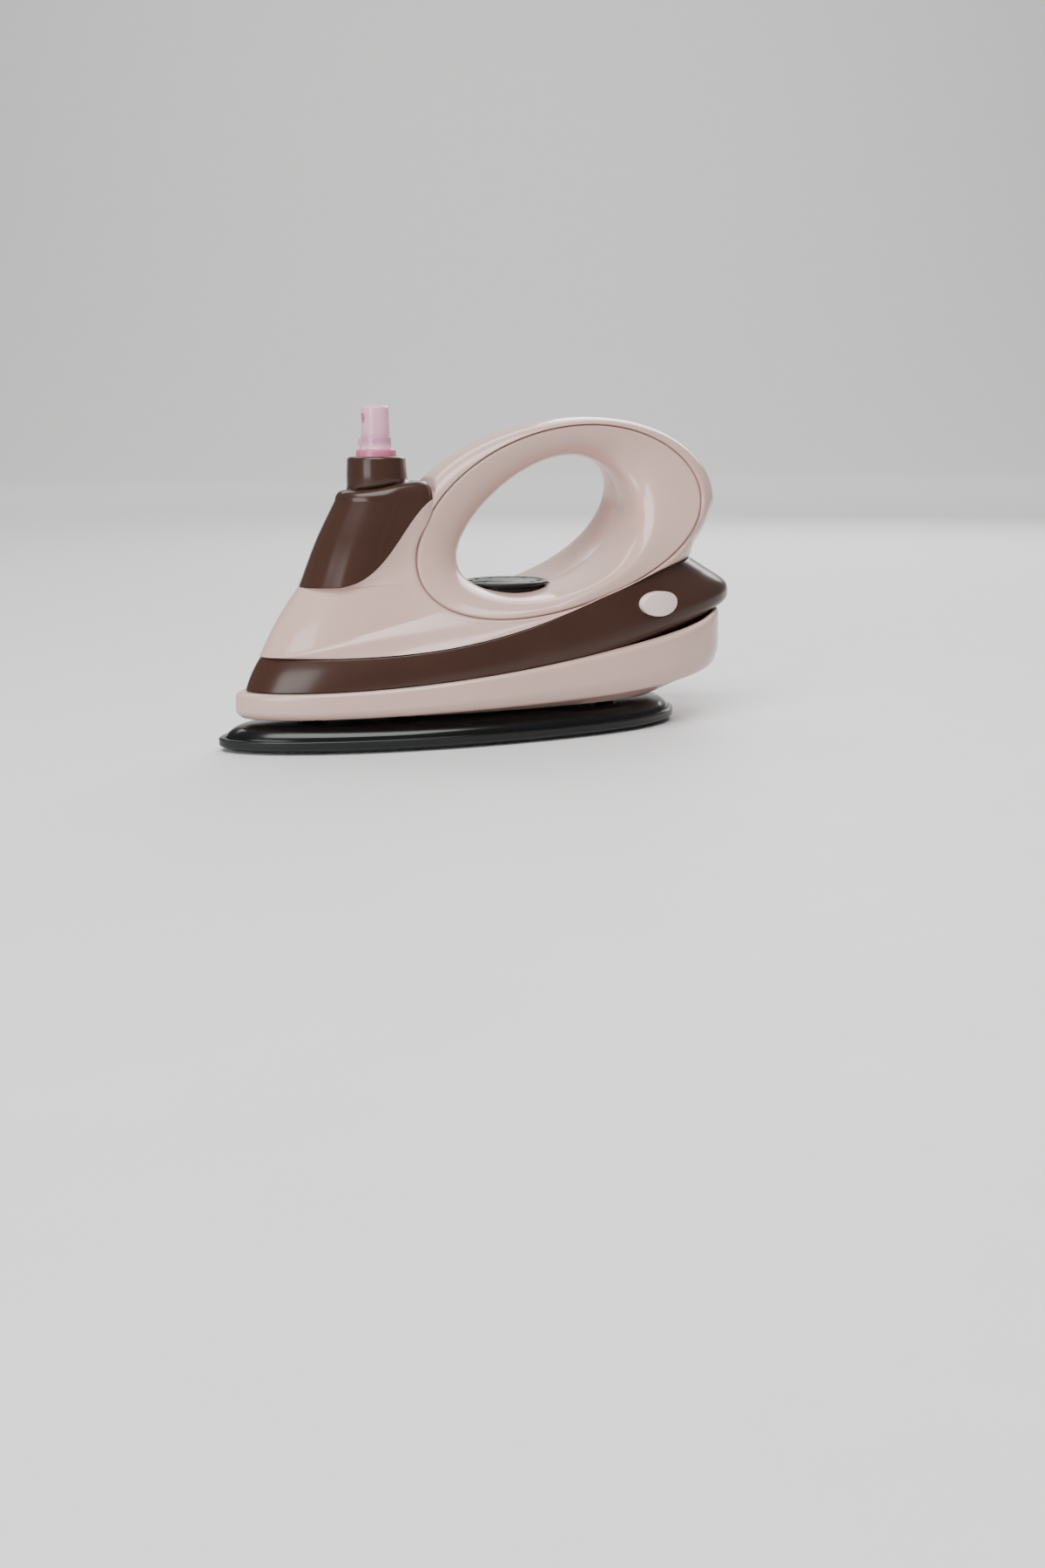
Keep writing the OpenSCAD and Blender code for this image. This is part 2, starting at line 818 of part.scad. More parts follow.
// Tank: a ring at height z, drawn in by the wall or the round of the shoulder
function top_rise(x) =
    let(t = min(1, max(0, (x - tank_x - tank_nose_l) / (neck_d + tank_top_rise))))
    tank_top_rise * t * t * (3 - 2 * t);
function tank_half_ring(z, inset) = concat(
    [
        for (i = [0 : tank_steps])
            let(a = 90 * i / tank_steps)
            [
                tank_front(z) + inset + tank_nose_l * (1 - cos(a)),
                (tank_side(z) - inset) * pow(sin(a), nose_share)
            ]
    ],
    [
        [mix(tank_front(z) + tank_nose_l, tank_rear, 0.5), tank_side(z) - inset],
        [tank_rear - inset - neck_round, tank_side(z) - inset],
        [tank_rear - inset, tank_side(z) - inset - neck_round]
    ]
);
function tank_ring(z, inset, lift) =
    let(h = tank_half_ring(min(z, shoulder_z), inset), n = len(h))
    concat(
        [for (i = [0 : n - 1]) [h[i][0], -h[i][1], z + lift * top_rise(h[i][0])]],
        [for (i = [n - 1 : -1 : 1]) [h[i][0], h[i][1], z + lift * top_rise(h[i][0])]]
    );
module tank_body(inset) {
    low = tank_z - over;
    last = tank_ring(shoulder_z + shoulder_rise - inset, shoulder_rise + inset, 1);
    loft(concat(
        [for (i = [0 : 4]) tank_ring(mix(low, shoulder_z - inset, i / 4), inset, 0)],
        [
            for (a = [30, 60, 90])
                tank_ring(
                    shoulder_z - inset + shoulder_rise * sin(a),
                    inset + shoulder_rise * (1 - cos(a)),
                    sin(a)
                )
        ],
        [
            [
                for (p = last)
                    [mix(p[0], neck_x, 0.7), p[1] * 0.3, shoulder_z + shoulder_rise - inset - over]
            ]
        ]
    ));
}
module above_seam(lift) {
    far = 2 * tank_hw;
    top = neck_top + over;
    rotate([90, 0, 0])
        translate([0, 0, -far])
            linear_extrude(2 * far)
                polygon(concat(
                    [[tank_x - far, tank_z + lift]],
                    [
                        for (i = [0 : seam_cols])
                            let(x = tank_x + seam_l * i / seam_cols)
                            [x, seam_height(x) + lift]
                    ],
                    [[tank_rear + far, seam_height(tank_rear) + lift]],
                    [[tank_rear + far, top], [tank_x - far, top]]
                ));
}
module pan_boss(d, h) {
    translate([0, 0, floor_z + floor_t / 2]) cylinder(d = d, h = floor_t / 2 + h);
}

// Places of the screws of the motor clamp, and of the ears of the battery box
saddle_w = motor_d + 2 * fit + 2 * saddle_wall;
module at_clamp() {
    for (side = [1, -1])
        translate([saddle_x + saddle_l / 2, side * (saddle_w + clamp_ear) / 2, 0]) children();
}
module at_ears() {
    for (x = [box_x - box_ear / 2, box_x + box_l + box_ear / 2], side = [1, -1])
        translate([x, side * box_w / 3, 0]) children();
}

// Pink pan with the skirt, the floor, and the bosses that stand on it
module base_pan() {
    color([0.83, 0.62, 0.64])
        from_nose()
            difference() {
                union() {
                    loft(concat(
                        [floor_ring(0, floor_z)],
                        [for (p = skirt_shares) skirt_ring(p[0] * skirt_edge, p[1])],
                        [for (p = skirt_in_shares) skirt_ring(p[0] * skirt_edge + wall, p[1])],
                        [floor_ring(0, floor_top)]
                    ));
                    at_guides()
                        translate([0, 0, floor_z + floor_t / 2])
                            cylinder(
                                d = spring_room_d + 2 * boss_wall,
                                h = guide_l - floor_z - floor_t / 2
                            );
                    at_posts() pan_boss(post_d + 1, boss_h);
                    translate([saddle_x, -saddle_w / 2, floor_z + floor_t / 2])
                        cube([saddle_l, saddle_w, motor_z - floor_z - floor_t / 2]);
                    at_clamp() pan_boss(clamp_ear + over, motor_z - floor_top);
                }
                translate([0, 0, floor_z - over]) linear_extrude(floor_t + 2 * over) box_outline(fit);
                at_guides() {
                    translate([0, 0, floor_z - over])
                        cylinder(d = spring_room_d, h = guide_l - guide_roof - floor_z + over);
                    translate([0, 0, floor_z]) cylinder(d = guide_d + 2 * run_fit, h = guide_l);
                }
                at_posts() {
                    translate([0, 0, floor_z - over]) cylinder(d = sink_d, h = over + head_h + fit);
                    translate([0, 0, floor_z - over])
                        cylinder(d = clear_d, h = floor_t + boss_h + 2 * over);
                }
                translate([switch_x, switch_y, floor_z - over])
                    cylinder(d = key_d + 2 * fit, h = floor_t + 2 * over);
                translate([saddle_x - over, 0, motor_z])
                    rotate([0, 90, 0]) cylinder(d = motor_d + 2 * fit, h = saddle_l + 2 * over);
                at_clamp()
                    translate([0, 0, motor_z - clamp_screw_l])
                        cylinder(d = pilot_d, h = clamp_screw_l + over);
                at_ears() translate([0, 0, floor_z - over]) cylinder(d = pilot_d, h = floor_t + 2 * over);
            }
}

// Brown band with its tail, a lip that enters the pan, and the openings for the buttons
module mid_band() {
    color([0.2, 0.1, 0.08])
        from_nose()
            difference() {
                hoop(concat(
                    [for (p = tail_shares) band_ring(p[0], p[1], 0)],
                    [
                        for (i = [len(tail_shares) - 1 : -1 : 1])
                            band_ring(tail_shares[i][0], tail_shares[i][1], wall)
                    ],
                    [
                        band_ring(0, 0, wall + fit + lip_t),
                        band_ring(0, 0, wall + fit + lip_t, lip_h),
                        band_ring(0, 0, wall + fit, lip_h),
                        band_ring(0, 0, wall + fit)
                    ]
                ));
                for (side = [1, 0])
                    mirror([0, side, 0])
                        at_button()
                            translate([0, 0, -button_y / 3])
                                linear_extrude(button_y / 2) button_outline(button_gap);
            }
}

// The left button's middle, with +Z pointing out of the band
module at_button() {
    translate([button_x, -button_y, button_z]) rotate([0, 0, button_turn]) rotate([90, 0, 0]) children();
}
module button_outline(gap) {
    polygon([
        for (i = [0 : 31])
            let(a = i * 360 / 32)
            [(button_l / 2 + gap) * cos(a), (button_h / 2 + gap) * sin(a)]
    ]);
}

// What both halves of the housing share, as the left half
module housing_half() {
    half_shell();
    deck_post(front_post, floor_top + boss_h + fit, post_d, base_screw_l);
    deck_post(rear_post, floor_top + boss_h + fit, post_d, base_screw_l);
    deck_post(seat_site, seat_z + seat_t + fit, seat_ear_d - over, seat_screw_l - seat_t);
    deck_post(frame_site, frame_z + frame_t + fit, frame_boss_d, boss_h);
}
// Place of a screw between the halves, and the height of its bosses
function case_point(psi) = funnel_point(psi, case_share, wall);
function case_top(psi) =
    let(span = norm(ridge_oval(psi) - hole_oval(psi)))
    min(case_point(psi)[2], funnel_point(psi, case_share - case_boss_d / 2 / span, 0)[2] - fit);
module at_case() {
    for (psi = case_psis) translate([case_point(psi)[0], 0, case_point(psi)[1]]) children();
}
module dial_opening() {
    translate([dial_x, 0, seat_z + seat_t]) cylinder(d = hub_d + 2 * hub_gap, h = dial_top - seat_z);
    translate([dial_x, 0, hub_top - hub_gap])
        cylinder(d = dial_d + 2 * hub_gap, h = dial_t + over + hub_gap);
}

// Left half of the pink housing, with blind bosses for the screws
module housing_left() {
    color([0.85, 0.66, 0.67])
        from_nose()
            difference() {
                union() {
                    housing_half();
                    for (psi = case_psis) {
                        p = case_point(psi);
                        translate([p[0], 0, p[1]])
                            rotate([90, 0, 0]) cylinder(d = case_boss_d - over, h = case_top(psi));
                    }
                }
                dial_opening();
                at_case()
                    translate([0, over, 0])
                        rotate([90, 0, 0]) cylinder(d = pilot_d, h = case_screw_l - case_seat + 2 * over);
            }
}

// Right half, with the sunk holes for the screw heads
module housing_right() {
    color([0.85, 0.66, 0.67])
        from_nose()
            difference() {
                union() {
                    mirror([0, 1, 0]) housing_half();
                    for (psi = case_psis) {
                        p = case_point(psi);
                        translate([p[0], case_top(psi), p[1]])
                            rotate([90, 0, 0]) cylinder(d = case_boss_d, h = case_top(psi));
                    }
                }
                dial_opening();
                at_case()
                    rotate([-90, 0, 0]) {
                        translate([0, 0, -over]) cylinder(d = clear_d, h = case_seat + 2 * over);
                        translate([0, 0, case_seat]) cylinder(d = sink_d, h = deck_hw);
                    }
            }
}
module housing_screws() {
    color("silver")
        from_nose()
            at_case() translate([0, case_seat + head_h, 0]) rotate([90, 0, 0]) screw(case_screw_l);
}
module base_screws() {
    color("silver")
        from_nose() at_posts() translate([0, 0, floor_z + fit]) screw(base_screw_l);
}
module sole_screws() {
    color("silver")
        from_nose()
            at_guides() {
                translate([0, 0, sole_sink - thin_head_h])
                    screw(sole_h - over - plate_t, thick = thin_head_h);
                translate([0, 0, guide_l + run_fit + head_h])
                    rotate([180, 0, 0]) screw(sole_h, head = flange_head_d);
            }
}
module sole_springs() {
    color("silver")
        from_nose()
            at_guides()
                coil(
                    (guide_d + sole_spring_wire) / 2 + 3 * fit,
                    sole_spring_wire,
                    sole_h + fit / 3,
                    guide_l - guide_roof - fit / 3,
                    sole_spring_turns
                );
}

// Brown tank with its neck and the post that carries it
module tank() {
    neck_foot = shoulder_z - neck_wall;
    color([0.22, 0.11, 0.09])
        from_nose()
            difference() {
                union() {
                    intersection() {
                        tank_body(0);
                        above_seam(0);
                    }
                    translate([neck_x, 0, 0])
                        rotate_extrude()
                            polygon(concat(
                                [[0, neck_foot], [neck_d / 2, neck_foot]],
                                [
                                    for (a = [0 : 15 : 90])
                                        [
                                            neck_d / 2 - neck_round * (1 - cos(a)),
                                            neck_top - neck_round * (1 - sin(a))
                                        ]
                                ],
                                [[0, neck_top]]
                            ));
                    difference() {
                        translate([tank_post_x, 0, floor_top + boss_h + fit])
                            cylinder(d = tank_post_d, h = seam_height(tank_post_x) - floor_top);
                        above_seam(wall / 2);
                    }
                }
                intersection() {
                    tank_body(wall);
                    above_seam(wall);
                }
                translate([neck_x, 0, neck_foot - neck_wall]) cylinder(d = plug_d + 2 * fit, h = neck_top);
                translate([neck_x, 0, neck_seat]) cylinder(d = recess_d, h = neck_top);
                translate([tank_post_x, 0, floor_top])
                    cylinder(d = pilot_d, h = boss_h + base_screw_l + over);
            }
}
module collar_gasket() {
    color("dimgray")
        from_nose()
            translate([neck_x, 0, neck_seat])
                difference() {
                    cylinder(d = recess_d - fit, h = gasket_t);
                    translate([0, 0, -over]) cylinder(d = plug_d + fit, h = gasket_t + 2 * over);
                }
}
module pump_collar() {
    color([0.86, 0.45, 0.6])
        from_nose()
            translate([neck_x, 0, 0])
                difference() {
                    union() {
                        translate([0, 0, chamber_top])
                            cylinder(d = recess_d - 2 * fit, h = neck_top + collar_rise - chamber_top);
                        translate([0, 0, chamber_top - plug_l]) cylinder(d = plug_d, h = plug_l + over);
                        translate([0, 0, chamber_top])
                            cylinder(d = sleeve_d, h = neck_top + collar_rise + sleeve_h - chamber_top);
                        rotate([0, 0, 180 + lug_turn])
                            translate([sleeve_d / 2 - lug_t, -lug_w / 2, neck_top + collar_rise - over])
                                cube([2 * lug_t, lug_w, sleeve_h * 0.7]);
                    }
                    translate([0, 0, chamber_top - plug_l - over])
                        cylinder(d = chamber_d + fit, h = plug_l + over + over);
                    translate([0, 0, chamber_top]) cylinder(d = sleeve_bore, h = neck_top);
                }
}
module pump_body() {
    color([0.92, 0.9, 0.9])
        from_nose()
            translate([neck_x, 0, 0])
                difference() {
                    union() {
                        translate([0, 0, chamber_low]) cylinder(d = chamber_d, h = chamber_l);
                        translate([0, 0, chamber_top]) cylinder(d = sleeve_bore - fit, h = cap_t);
                        translate([0, 0, chamber_low - tail_l]) cylinder(d = tail_d, h = tail_l + over);
                    }
                    translate([0, 0, chamber_low + cap_t])
                        cylinder(d = chamber_d - 2 * chamber_wall, h = chamber_l);
                    translate([0, 0, chamber_low - tail_l]) cylinder(d = tube_bore, h = chamber_l);
                    translate([0, 0, chamber_low - tail_l - over])
                        cylinder(d = tube_d + fit / 3, h = tail_l + over);
                }
}
module pump_cap() {
    color("white")
        from_nose()
            translate([neck_x, 0, cap_z])
                difference() {
                    cylinder(d = sleeve_bore - fit, h = cap_t);
                    translate([0, 0, -over]) cylinder(d = stem_d + 2 * run_fit, h = cap_t + 2 * over);
                }
}
module dip_tube() {
    top = chamber_low - fit;
    color([0.95, 0.95, 0.95])
        from_nose()
            translate([neck_x, 0, top - tail_l - elbow_d / 2])
                difference() {
                    union() {
                        cylinder(d = tube_d, h = elbow_d / 2 + tail_l);
                        sphere(d = elbow_d);
                        rotate([0, 180 + tube_bend, 0]) cylinder(d = tube_d, h = tube_l);
                    }
                    cylinder(d = tube_bore, h = elbow_d + tail_l);
                    rotate([0, 180 + tube_bend, 0]) cylinder(d = tube_bore, h = tube_l + over);
                }
}
module inlet_ball() {
    color("silver")
        from_nose()
            translate([neck_x, 0, chamber_low + cap_t + ball_d / 2])
                sphere(d = ball_d);
}
piston_low = chamber_top - piston_z;
module pump_spring() {
    color("silver")
        from_nose()
            translate([neck_x, 0, 0])
                coil(
                    chamber_d / 2 - chamber_wall - spray_spring_wire,
                    spray_spring_wire,
                    chamber_low + cap_t + fit / 3,
                    piston_low - fit / 3,
                    spray_spring_turns
                );
}
module pump_piston() {
    color("white")
        from_nose()
            translate([neck_x, 0, 0])
                difference() {
                    union() {
                        translate([0, 0, piston_low])
                            cylinder(d = chamber_d - 2 * chamber_wall - 2 * run_fit, h = piston_t);
                        translate([0, 0, piston_low])
                            cylinder(d = stem_d, h = head_bottom + head_skirt + 2 * head_wall - piston_low);
                    }
                    translate([0, 0, piston_low - over]) cylinder(d = tube_bore, h = 2 * head_rise + over);
                }
}

// Clear head that is pressed to spray, open below, with a channel to its jet
module spray_head() {
    top = neck_top + head_rise;
    color([0.93, 0.7, 0.78, 0.7])
        from_nose()
            translate([neck_x, 0, 0])
                difference() {
                    rotate_extrude()
                        polygon(concat(
                            [[0, head_bottom], [head_d / 2, head_bottom]],
                            [
                                for (a = [0 : 15 : 90])
                                    [
                                        head_top_d / 2 - head_round * (1 - cos(a)),
                                        top - head_round * (1 - sin(a))
                                    ]
                            ],
                            [[0, top]]
                        ));
                    difference() {
                        translate([0, 0, head_bottom - over])
                            cylinder(d = head_d - 2 * head_wall, h = head_skirt + over);
                        translate([0, 0, head_bottom - 2 * over])
                            cylinder(d = stem_d + 2 * head_wall, h = head_skirt + 3 * over);
                    }
                    translate([0, 0, head_bottom - over])
                        cylinder(d = stem_d + 2 * run_fit, h = head_skirt + 2 * head_wall + over + fit);
                    translate([0, 0, head_bottom]) cylinder(d = tube_bore, h = top - jet_z - head_bottom);
                    translate([0, 0, top - jet_z]) rotate([0, -90, 0]) cylinder(d = tube_bore, h = head_d);
                    translate([-head_d / 2 + jet_l, 0, top - jet_z])
                        rotate([0, -90, 0]) cylinder(d = jet_d, h = head_d);
                }
}
module nozzle_insert() {
    color([0.85, 0.5, 0.62])
        from_nose()
            translate([neck_x - head_d / 2 + jet_l, 0, neck_top + head_rise - jet_z])
                rotate([0, -90, 0])
                    difference() {
                        cylinder(d = jet_d - fit, h = jet_l - fit);
                        translate([0, 0, -over]) cylinder(d = jet_hole_d, h = jet_l + 2 * over);
                        translate([0, 0, -over]) cylinder(d = tube_bore, h = jet_l - 2 * fit);
                    }
}

// Black dial: a thin flange over a hollow hub, with a spindle that turns in the seat
module dial_knob() {
    hub_low = hub_top - waist_gap - hub_h;
    color([0.06, 0.07, 0.07])
        from_nose()
            translate([dial_x, 0, 0])
                difference() {
                    rotate_extrude()
                        polygon(concat(
                            [
                                [0, seat_z - seat_boss_h - clip_t - spindle_end],
                                [spindle_d / 2, seat_z - seat_boss_h - clip_t - spindle_end],
                                [spindle_d / 2, hub_top - dial_t],
                                [hub_d / 2 - hub_wall, hub_top - dial_t],
                                [hub_d / 2 - hub_wall, hub_low],
                                [hub_d / 2, hub_low],
                                [hub_d / 2, hub_top - waist_gap],
                                [waist_d / 2, hub_top - waist_gap],
                                [waist_d / 2, hub_top]
                            ],
                            [
                                for (a = [-90 : 30 : 90])
                                    [
                                        dial_d / 2 - dial_t / 2 * (1 - cos(a)),
                                        hub_top + dial_t / 2 * (1 + sin(a))
                                    ]
                            ],
                            [[0, dial_top]]
                        ));
                    translate([0, 0, seat_z - seat_boss_h - clip_t - run_fit])
                        difference() {
                            cylinder(d = spindle_d + over, h = clip_t);
                            cylinder(d = groove_d, h = clip_t);
                        }
                }
}
waist_gap = 0.7;
module dial_clip() {
    color("silver")
        from_nose()
            translate([dial_x, 0, seat_z - seat_boss_h - clip_t])
                difference() {
                    cylinder(d = clip_d, h = clip_t - 2 * run_fit);
                    translate([0, 0, -over]) cylinder(d = groove_d + fit, h = clip_t + 2 * over);
                    translate([0, -groove_d / 3, -over])
                        cube([clip_d, 2 * groove_d / 3, clip_t + 2 * over]);
                }
}
module dial_seat() {
    p = wall_point(seat_site);
    color([0.8, 0.78, 0.76])
        from_nose()
            difference() {
                union() {
                    translate([dial_x, 0, seat_z]) cylinder(d = seat_d, h = seat_t);
                    translate([dial_x, 0, seat_z - seat_boss_h])
                        cylinder(d = seat_boss_d, h = seat_boss_h + over);
                    for (side = [1, -1]) {
                        translate([p[0], side * p[1], seat_z]) cylinder(d = seat_ear_d, h = seat_t);
                        translate([p[0] - seat_ear_d / 2, side > 0 ? p[1] : 0, seat_z])
                            cube([seat_ear_d, -p[1], seat_t]);
                    }
                }
                translate([dial_x, 0, seat_z - seat_boss_h - over])
                    cylinder(d = spindle_d + 2 * run_fit, h = seat_boss_h + seat_t + 2 * over);
                for (side = [1, -1])
                    translate([p[0], side * p[1], seat_z - over])
                        cylinder(d = clear_d, h = seat_t + 2 * over);
            }
}
module seat_screws() {
    p = wall_point(seat_site);
    color("silver")
        from_nose()
            for (side = [1, -1]) translate([p[0], side * p[1], seat_z - head_h]) screw(seat_screw_l - over);
}

// Oval push button with a round stem that slides in the frame
module button_piece() {
    sphere_r = (pow(button_l / 2, 2) + pow(button_dome, 2)) / (2 * button_dome);
    intersection() {
        translate([0, 0, button_proud - button_t]) linear_extrude(button_t + over) button_outline(0);
        translate([0, 0, button_proud + button_dome / 2 - sphere_r]) sphere(r = sphere_r, $fn = 96);
    }
    translate([0, 0, -button_stem_l]) cylinder(d = button_stem_d, h = button_stem_l - button_t + 2 * over);
}
module button_left() {
    color([0.9, 0.76, 0.76]) from_nose() at_button() button_piece();
}
module button_right() {
    color([0.9, 0.76, 0.76]) from_nose() mirror([0, 1, 0]) at_button() button_piece();
}
module button_guides() {
    p = wall_point(frame_site);
    color([0.8, 0.78, 0.76])
        from_nose()
            difference() {
                union() {
                    translate([p[0] - frame_w / 2, p[1] - frame_w / 2, frame_z])
                        cube([button_x - p[0] + frame_w, -2 * p[1] + frame_w, frame_t]);
                    for (side = [1, 0])
                        mirror([0, side, 0])
                            at_button()
                                translate([-guide_block / 2, -guide_block / 2, -guide_depth - guide_block])
                                    cube([
                                        guide_block,
                                        frame_z - button_z + (guide_block + frame_t) / 2,
                                        guide_block
                                    ]);
                }
                for (side = [1, 0])
                    mirror([0, side, 0]) {
                        at_button()
                            translate([0, 0, -guide_depth - 2 * guide_block])
                                cylinder(d = button_stem_d + 2 * run_fit, h = 3 * guide_block);
                        translate([p[0], p[1], frame_z - over])
                            cylinder(d = clear_d, h = frame_t + 2 * over);
                    }
            }
}
module guide_screws() {
    p = wall_point(frame_site);
    color("silver")
        from_nose()
            for (side = [1, -1])
                translate([p[0], side * p[1], frame_z - head_h]) screw(frame_t + boss_h - over);
}

// Box that hangs through the floor and takes two cells side by side
module battery_box() {
    color([0.15, 0.15, 0.16])
        from_nose()
            difference() {
                union() {
                    translate([0, 0, box_bottom])
                        linear_extrude(floor_top - box_bottom + over) box_outline(0);
                    translate([box_x, -box_w / 2, floor_top]) cube([box_l, box_w, box_top - floor_top]);
                    translate([box_x - box_ear, -box_w / 2, floor_top])
                        cube([box_l + 2 * box_ear, box_w, ear_t]);
                }
                translate([box_x + box_wall, box_wall - box_w / 2, box_bottom - over])
                    cube([
                        box_l - 2 * box_wall,
                        box_w - 2 * box_wall,
                        box_top - box_roof - box_bottom + over
                    ]);
                translate([hatch_boss_x, 0, box_bottom - over])
                    cylinder(d = pilot_d, h = hatch_screw_l + over);
                at_ears() translate([0, 0, floor_top - over]) cylinder(d = clear_d, h = ear_t + 2 * over);
                for (side = [1, -1])
                    translate([box_x - over, side * box_cell_y, box_bottom + tab_rise + tab_t / 2])
                        translate([0, -tab_w / 2 - fit, -tab_t / 2 - fit])
                            cube([box_wall + 2 * over, tab_w + 2 * fit, tab_t + 2 * fit]);
            }
}
hatch_screw_l = 6;
tab_w = 5;
tab_t = 1;
tab_rise = 0.4;
module box_screws() {
    color("silver")
        from_nose()
            at_ears()
                translate([0, 0, floor_top + ear_t + head_h])
                    rotate([180, 0, 0]) screw(ear_t + floor_t - fit);
}
module battery_hatch() {
    low = box_bottom - fit - hatch_t;
    color([0.08, 0.09, 0.1])
        from_nose()
            difference() {
                union() {
                    translate([0, 0, low]) linear_extrude(hatch_t) box_outline(0);
                    for (side = [1, -1]) {
                        translate([box_x + box_wall + fit, side * box_cell_y - tab_w / 2, low])
                            cube([tab_t, tab_w, hatch_t + fit + tab_rise + tab_t]);
                        translate([box_x, side * box_cell_y - tab_w / 2, box_bottom + tab_rise])
                            cube([box_wall + fit + tab_t, tab_w, tab_t]);
                    }
                }
                translate([hatch_boss_x, 0, low - over]) {
                    cylinder(d = clear_d, h = hatch_t + 2 * over);
                    cylinder(d = sink_d, h = over + thin_head_h + fit / 3);
                }
            }
}
module hatch_screw() {
    color("silver")
        from_nose()
            translate([hatch_boss_x, 0, box_bottom - fit - hatch_t + fit / 3])
                screw(hatch_screw_l - over, thick = thin_head_h);
}
module cells() {
    nipple_l = 1;
    color([0.35, 0.5, 0.3])
        from_nose() {
            translate([box_x + box_wall + fit + contact_t + nipple_l, box_cell_y, cell_z])
                rotate([0, 90, 0]) {
                    cylinder(d = cell_d, h = cell_l - nipple_l);
                    translate([0, 0, -nipple_l]) cylinder(d = cell_d / 3, h = cell_l / 2);
                }
            translate([box_x + box_l - box_wall - fit - contact_t - nipple_l, -box_cell_y, cell_z])
                rotate([0, -90, 0]) {
                    cylinder(d = cell_d, h = cell_l - nipple_l);
                    translate([0, 0, -nipple_l]) cylinder(d = cell_d / 3, h = cell_l / 2);
                }
        }
}
module contact_plates() {
    low = cell_z - cell_d / 3;
    high = 2 * cell_d / 3;
    color("silver")
        from_nose() {
            for (side = [1, -1])
                translate([box_x + box_wall + fit / 3, side * box_cell_y - cell_d / 3, low])
                    cube([contact_t, 2 * cell_d / 3, high]);
            translate([box_x + box_l - box_wall - fit / 3 - contact_t, -box_cell_y - cell_d / 3, low])
                cube([contact_t, 2 * box_cell_y + 2 * cell_d / 3, high]);
        }
}
module contact_springs() {
    color("silver")
        from_nose() {
            translate([box_x + box_wall + fit / 2 + contact_t, -box_cell_y, cell_z])
                rotate([0, 90, 0]) coil(cell_d / 3.5, spray_spring_wire, fit / 3, spring_l, 4);
            translate([box_x + box_l - box_wall - fit / 2 - contact_t, box_cell_y, cell_z])
                rotate([0, -90, 0]) coil(cell_d / 3.5, spray_spring_wire, fit / 3, spring_l, 4);
        }
}

// Small motor with an off-centre weight
module motor() {
    color("silver")
        from_nose()
            translate([motor_x, 0, motor_z])
                rotate([0, 90, 0])
                    difference() {
                        union() {
                            cylinder(d = motor_d, h = motor_l);
                            translate([0, 0, -motor_nose_l]) cylinder(d = motor_nose_d, h = motor_l);
                        }
                        translate([0, 0, -motor_nose_l - over])
                            cylinder(d = shaft_d + 2 * run_fit, h = motor_l);
                    }
}
module motor_shaft() {
    color("silver")
        from_nose()
            translate([motor_x - motor_nose_l - shaft_out, 0, motor_z])
                rotate([0, 90, 0]) cylinder(d = shaft_d, h = shaft_out + motor_l - motor_nose_l - fit);
}
module eccentric_weight() {
    color("darkgray")
        from_nose()
            translate([motor_x - motor_nose_l - weight_gap - weight_l, 0, motor_z])
                rotate([0, 90, 0])
                    difference() {
                        cylinder(r = weight_r, h = weight_l);
                        translate([-2 * weight_r - shaft_d, -weight_r - over, -over])
                            cube([2 * weight_r, 2 * (weight_r + over), weight_l + 2 * over]);
                        translate([0, 0, -over]) cylinder(d = shaft_d + fit / 5, h = weight_l + 2 * over);
                    }
}
module motor_clamp() {
    r = motor_d / 2 + fit + saddle_wall;
    color([0.8, 0.78, 0.76])
        from_nose()
            difference() {
                union() {
                    translate([saddle_x, 0, motor_z]) rotate([0, 90, 0]) cylinder(r = r, h = saddle_l);
                    translate([saddle_x, -r - clamp_ear, motor_z + fit])
                        cube([saddle_l, 2 * (r + clamp_ear), clamp_t]);
                }
                translate([saddle_x - over, 0, motor_z])
                    rotate([0, 90, 0]) cylinder(d = motor_d + 2 * fit, h = saddle_l + 2 * over);
                translate([saddle_x - over, -2 * r, motor_z + fit - 4 * r])
                    cube([saddle_l + 2 * over, 4 * r, 4 * r]);
                at_clamp() translate([0, 0, motor_z]) cylinder(d = clear_d, h = clamp_t + over);
            }
}
module clamp_screws() {
    color("silver")
        from_nose()
            at_clamp()
                translate([0, 0, motor_z + fit + clamp_t + head_h])
                    rotate([180, 0, 0]) screw(clamp_screw_l);
}

// Switch on two feet, worked from below by a post of the sole
module press_switch() {
    foot = (switch_l - plunger_d * 3) / 2;
    color([0.12, 0.12, 0.13])
        from_nose()
            difference() {
                union() {
                    translate([switch_x - switch_l / 2, switch_y - switch_w / 2, switch_z])
                        cube([switch_l, switch_w, switch_h]);
                    for (x = [switch_x - switch_l / 2, switch_x + switch_l / 2 - foot])
                        translate([x, switch_y - switch_w / 2, floor_top])
                            cube([foot, switch_w, switch_z - floor_top + over]);
                }
                translate([switch_x, switch_y, switch_z - over])
                    cylinder(d = plunger_d + 2 * run_fit, h = over + switch_h - over);
            }
}
module switch_plunger() {
    color("red")
        from_nose()
            translate([switch_x, switch_y, key_top])
                cylinder(d = plunger_d, h = switch_z - key_top + switch_h / 3);
}

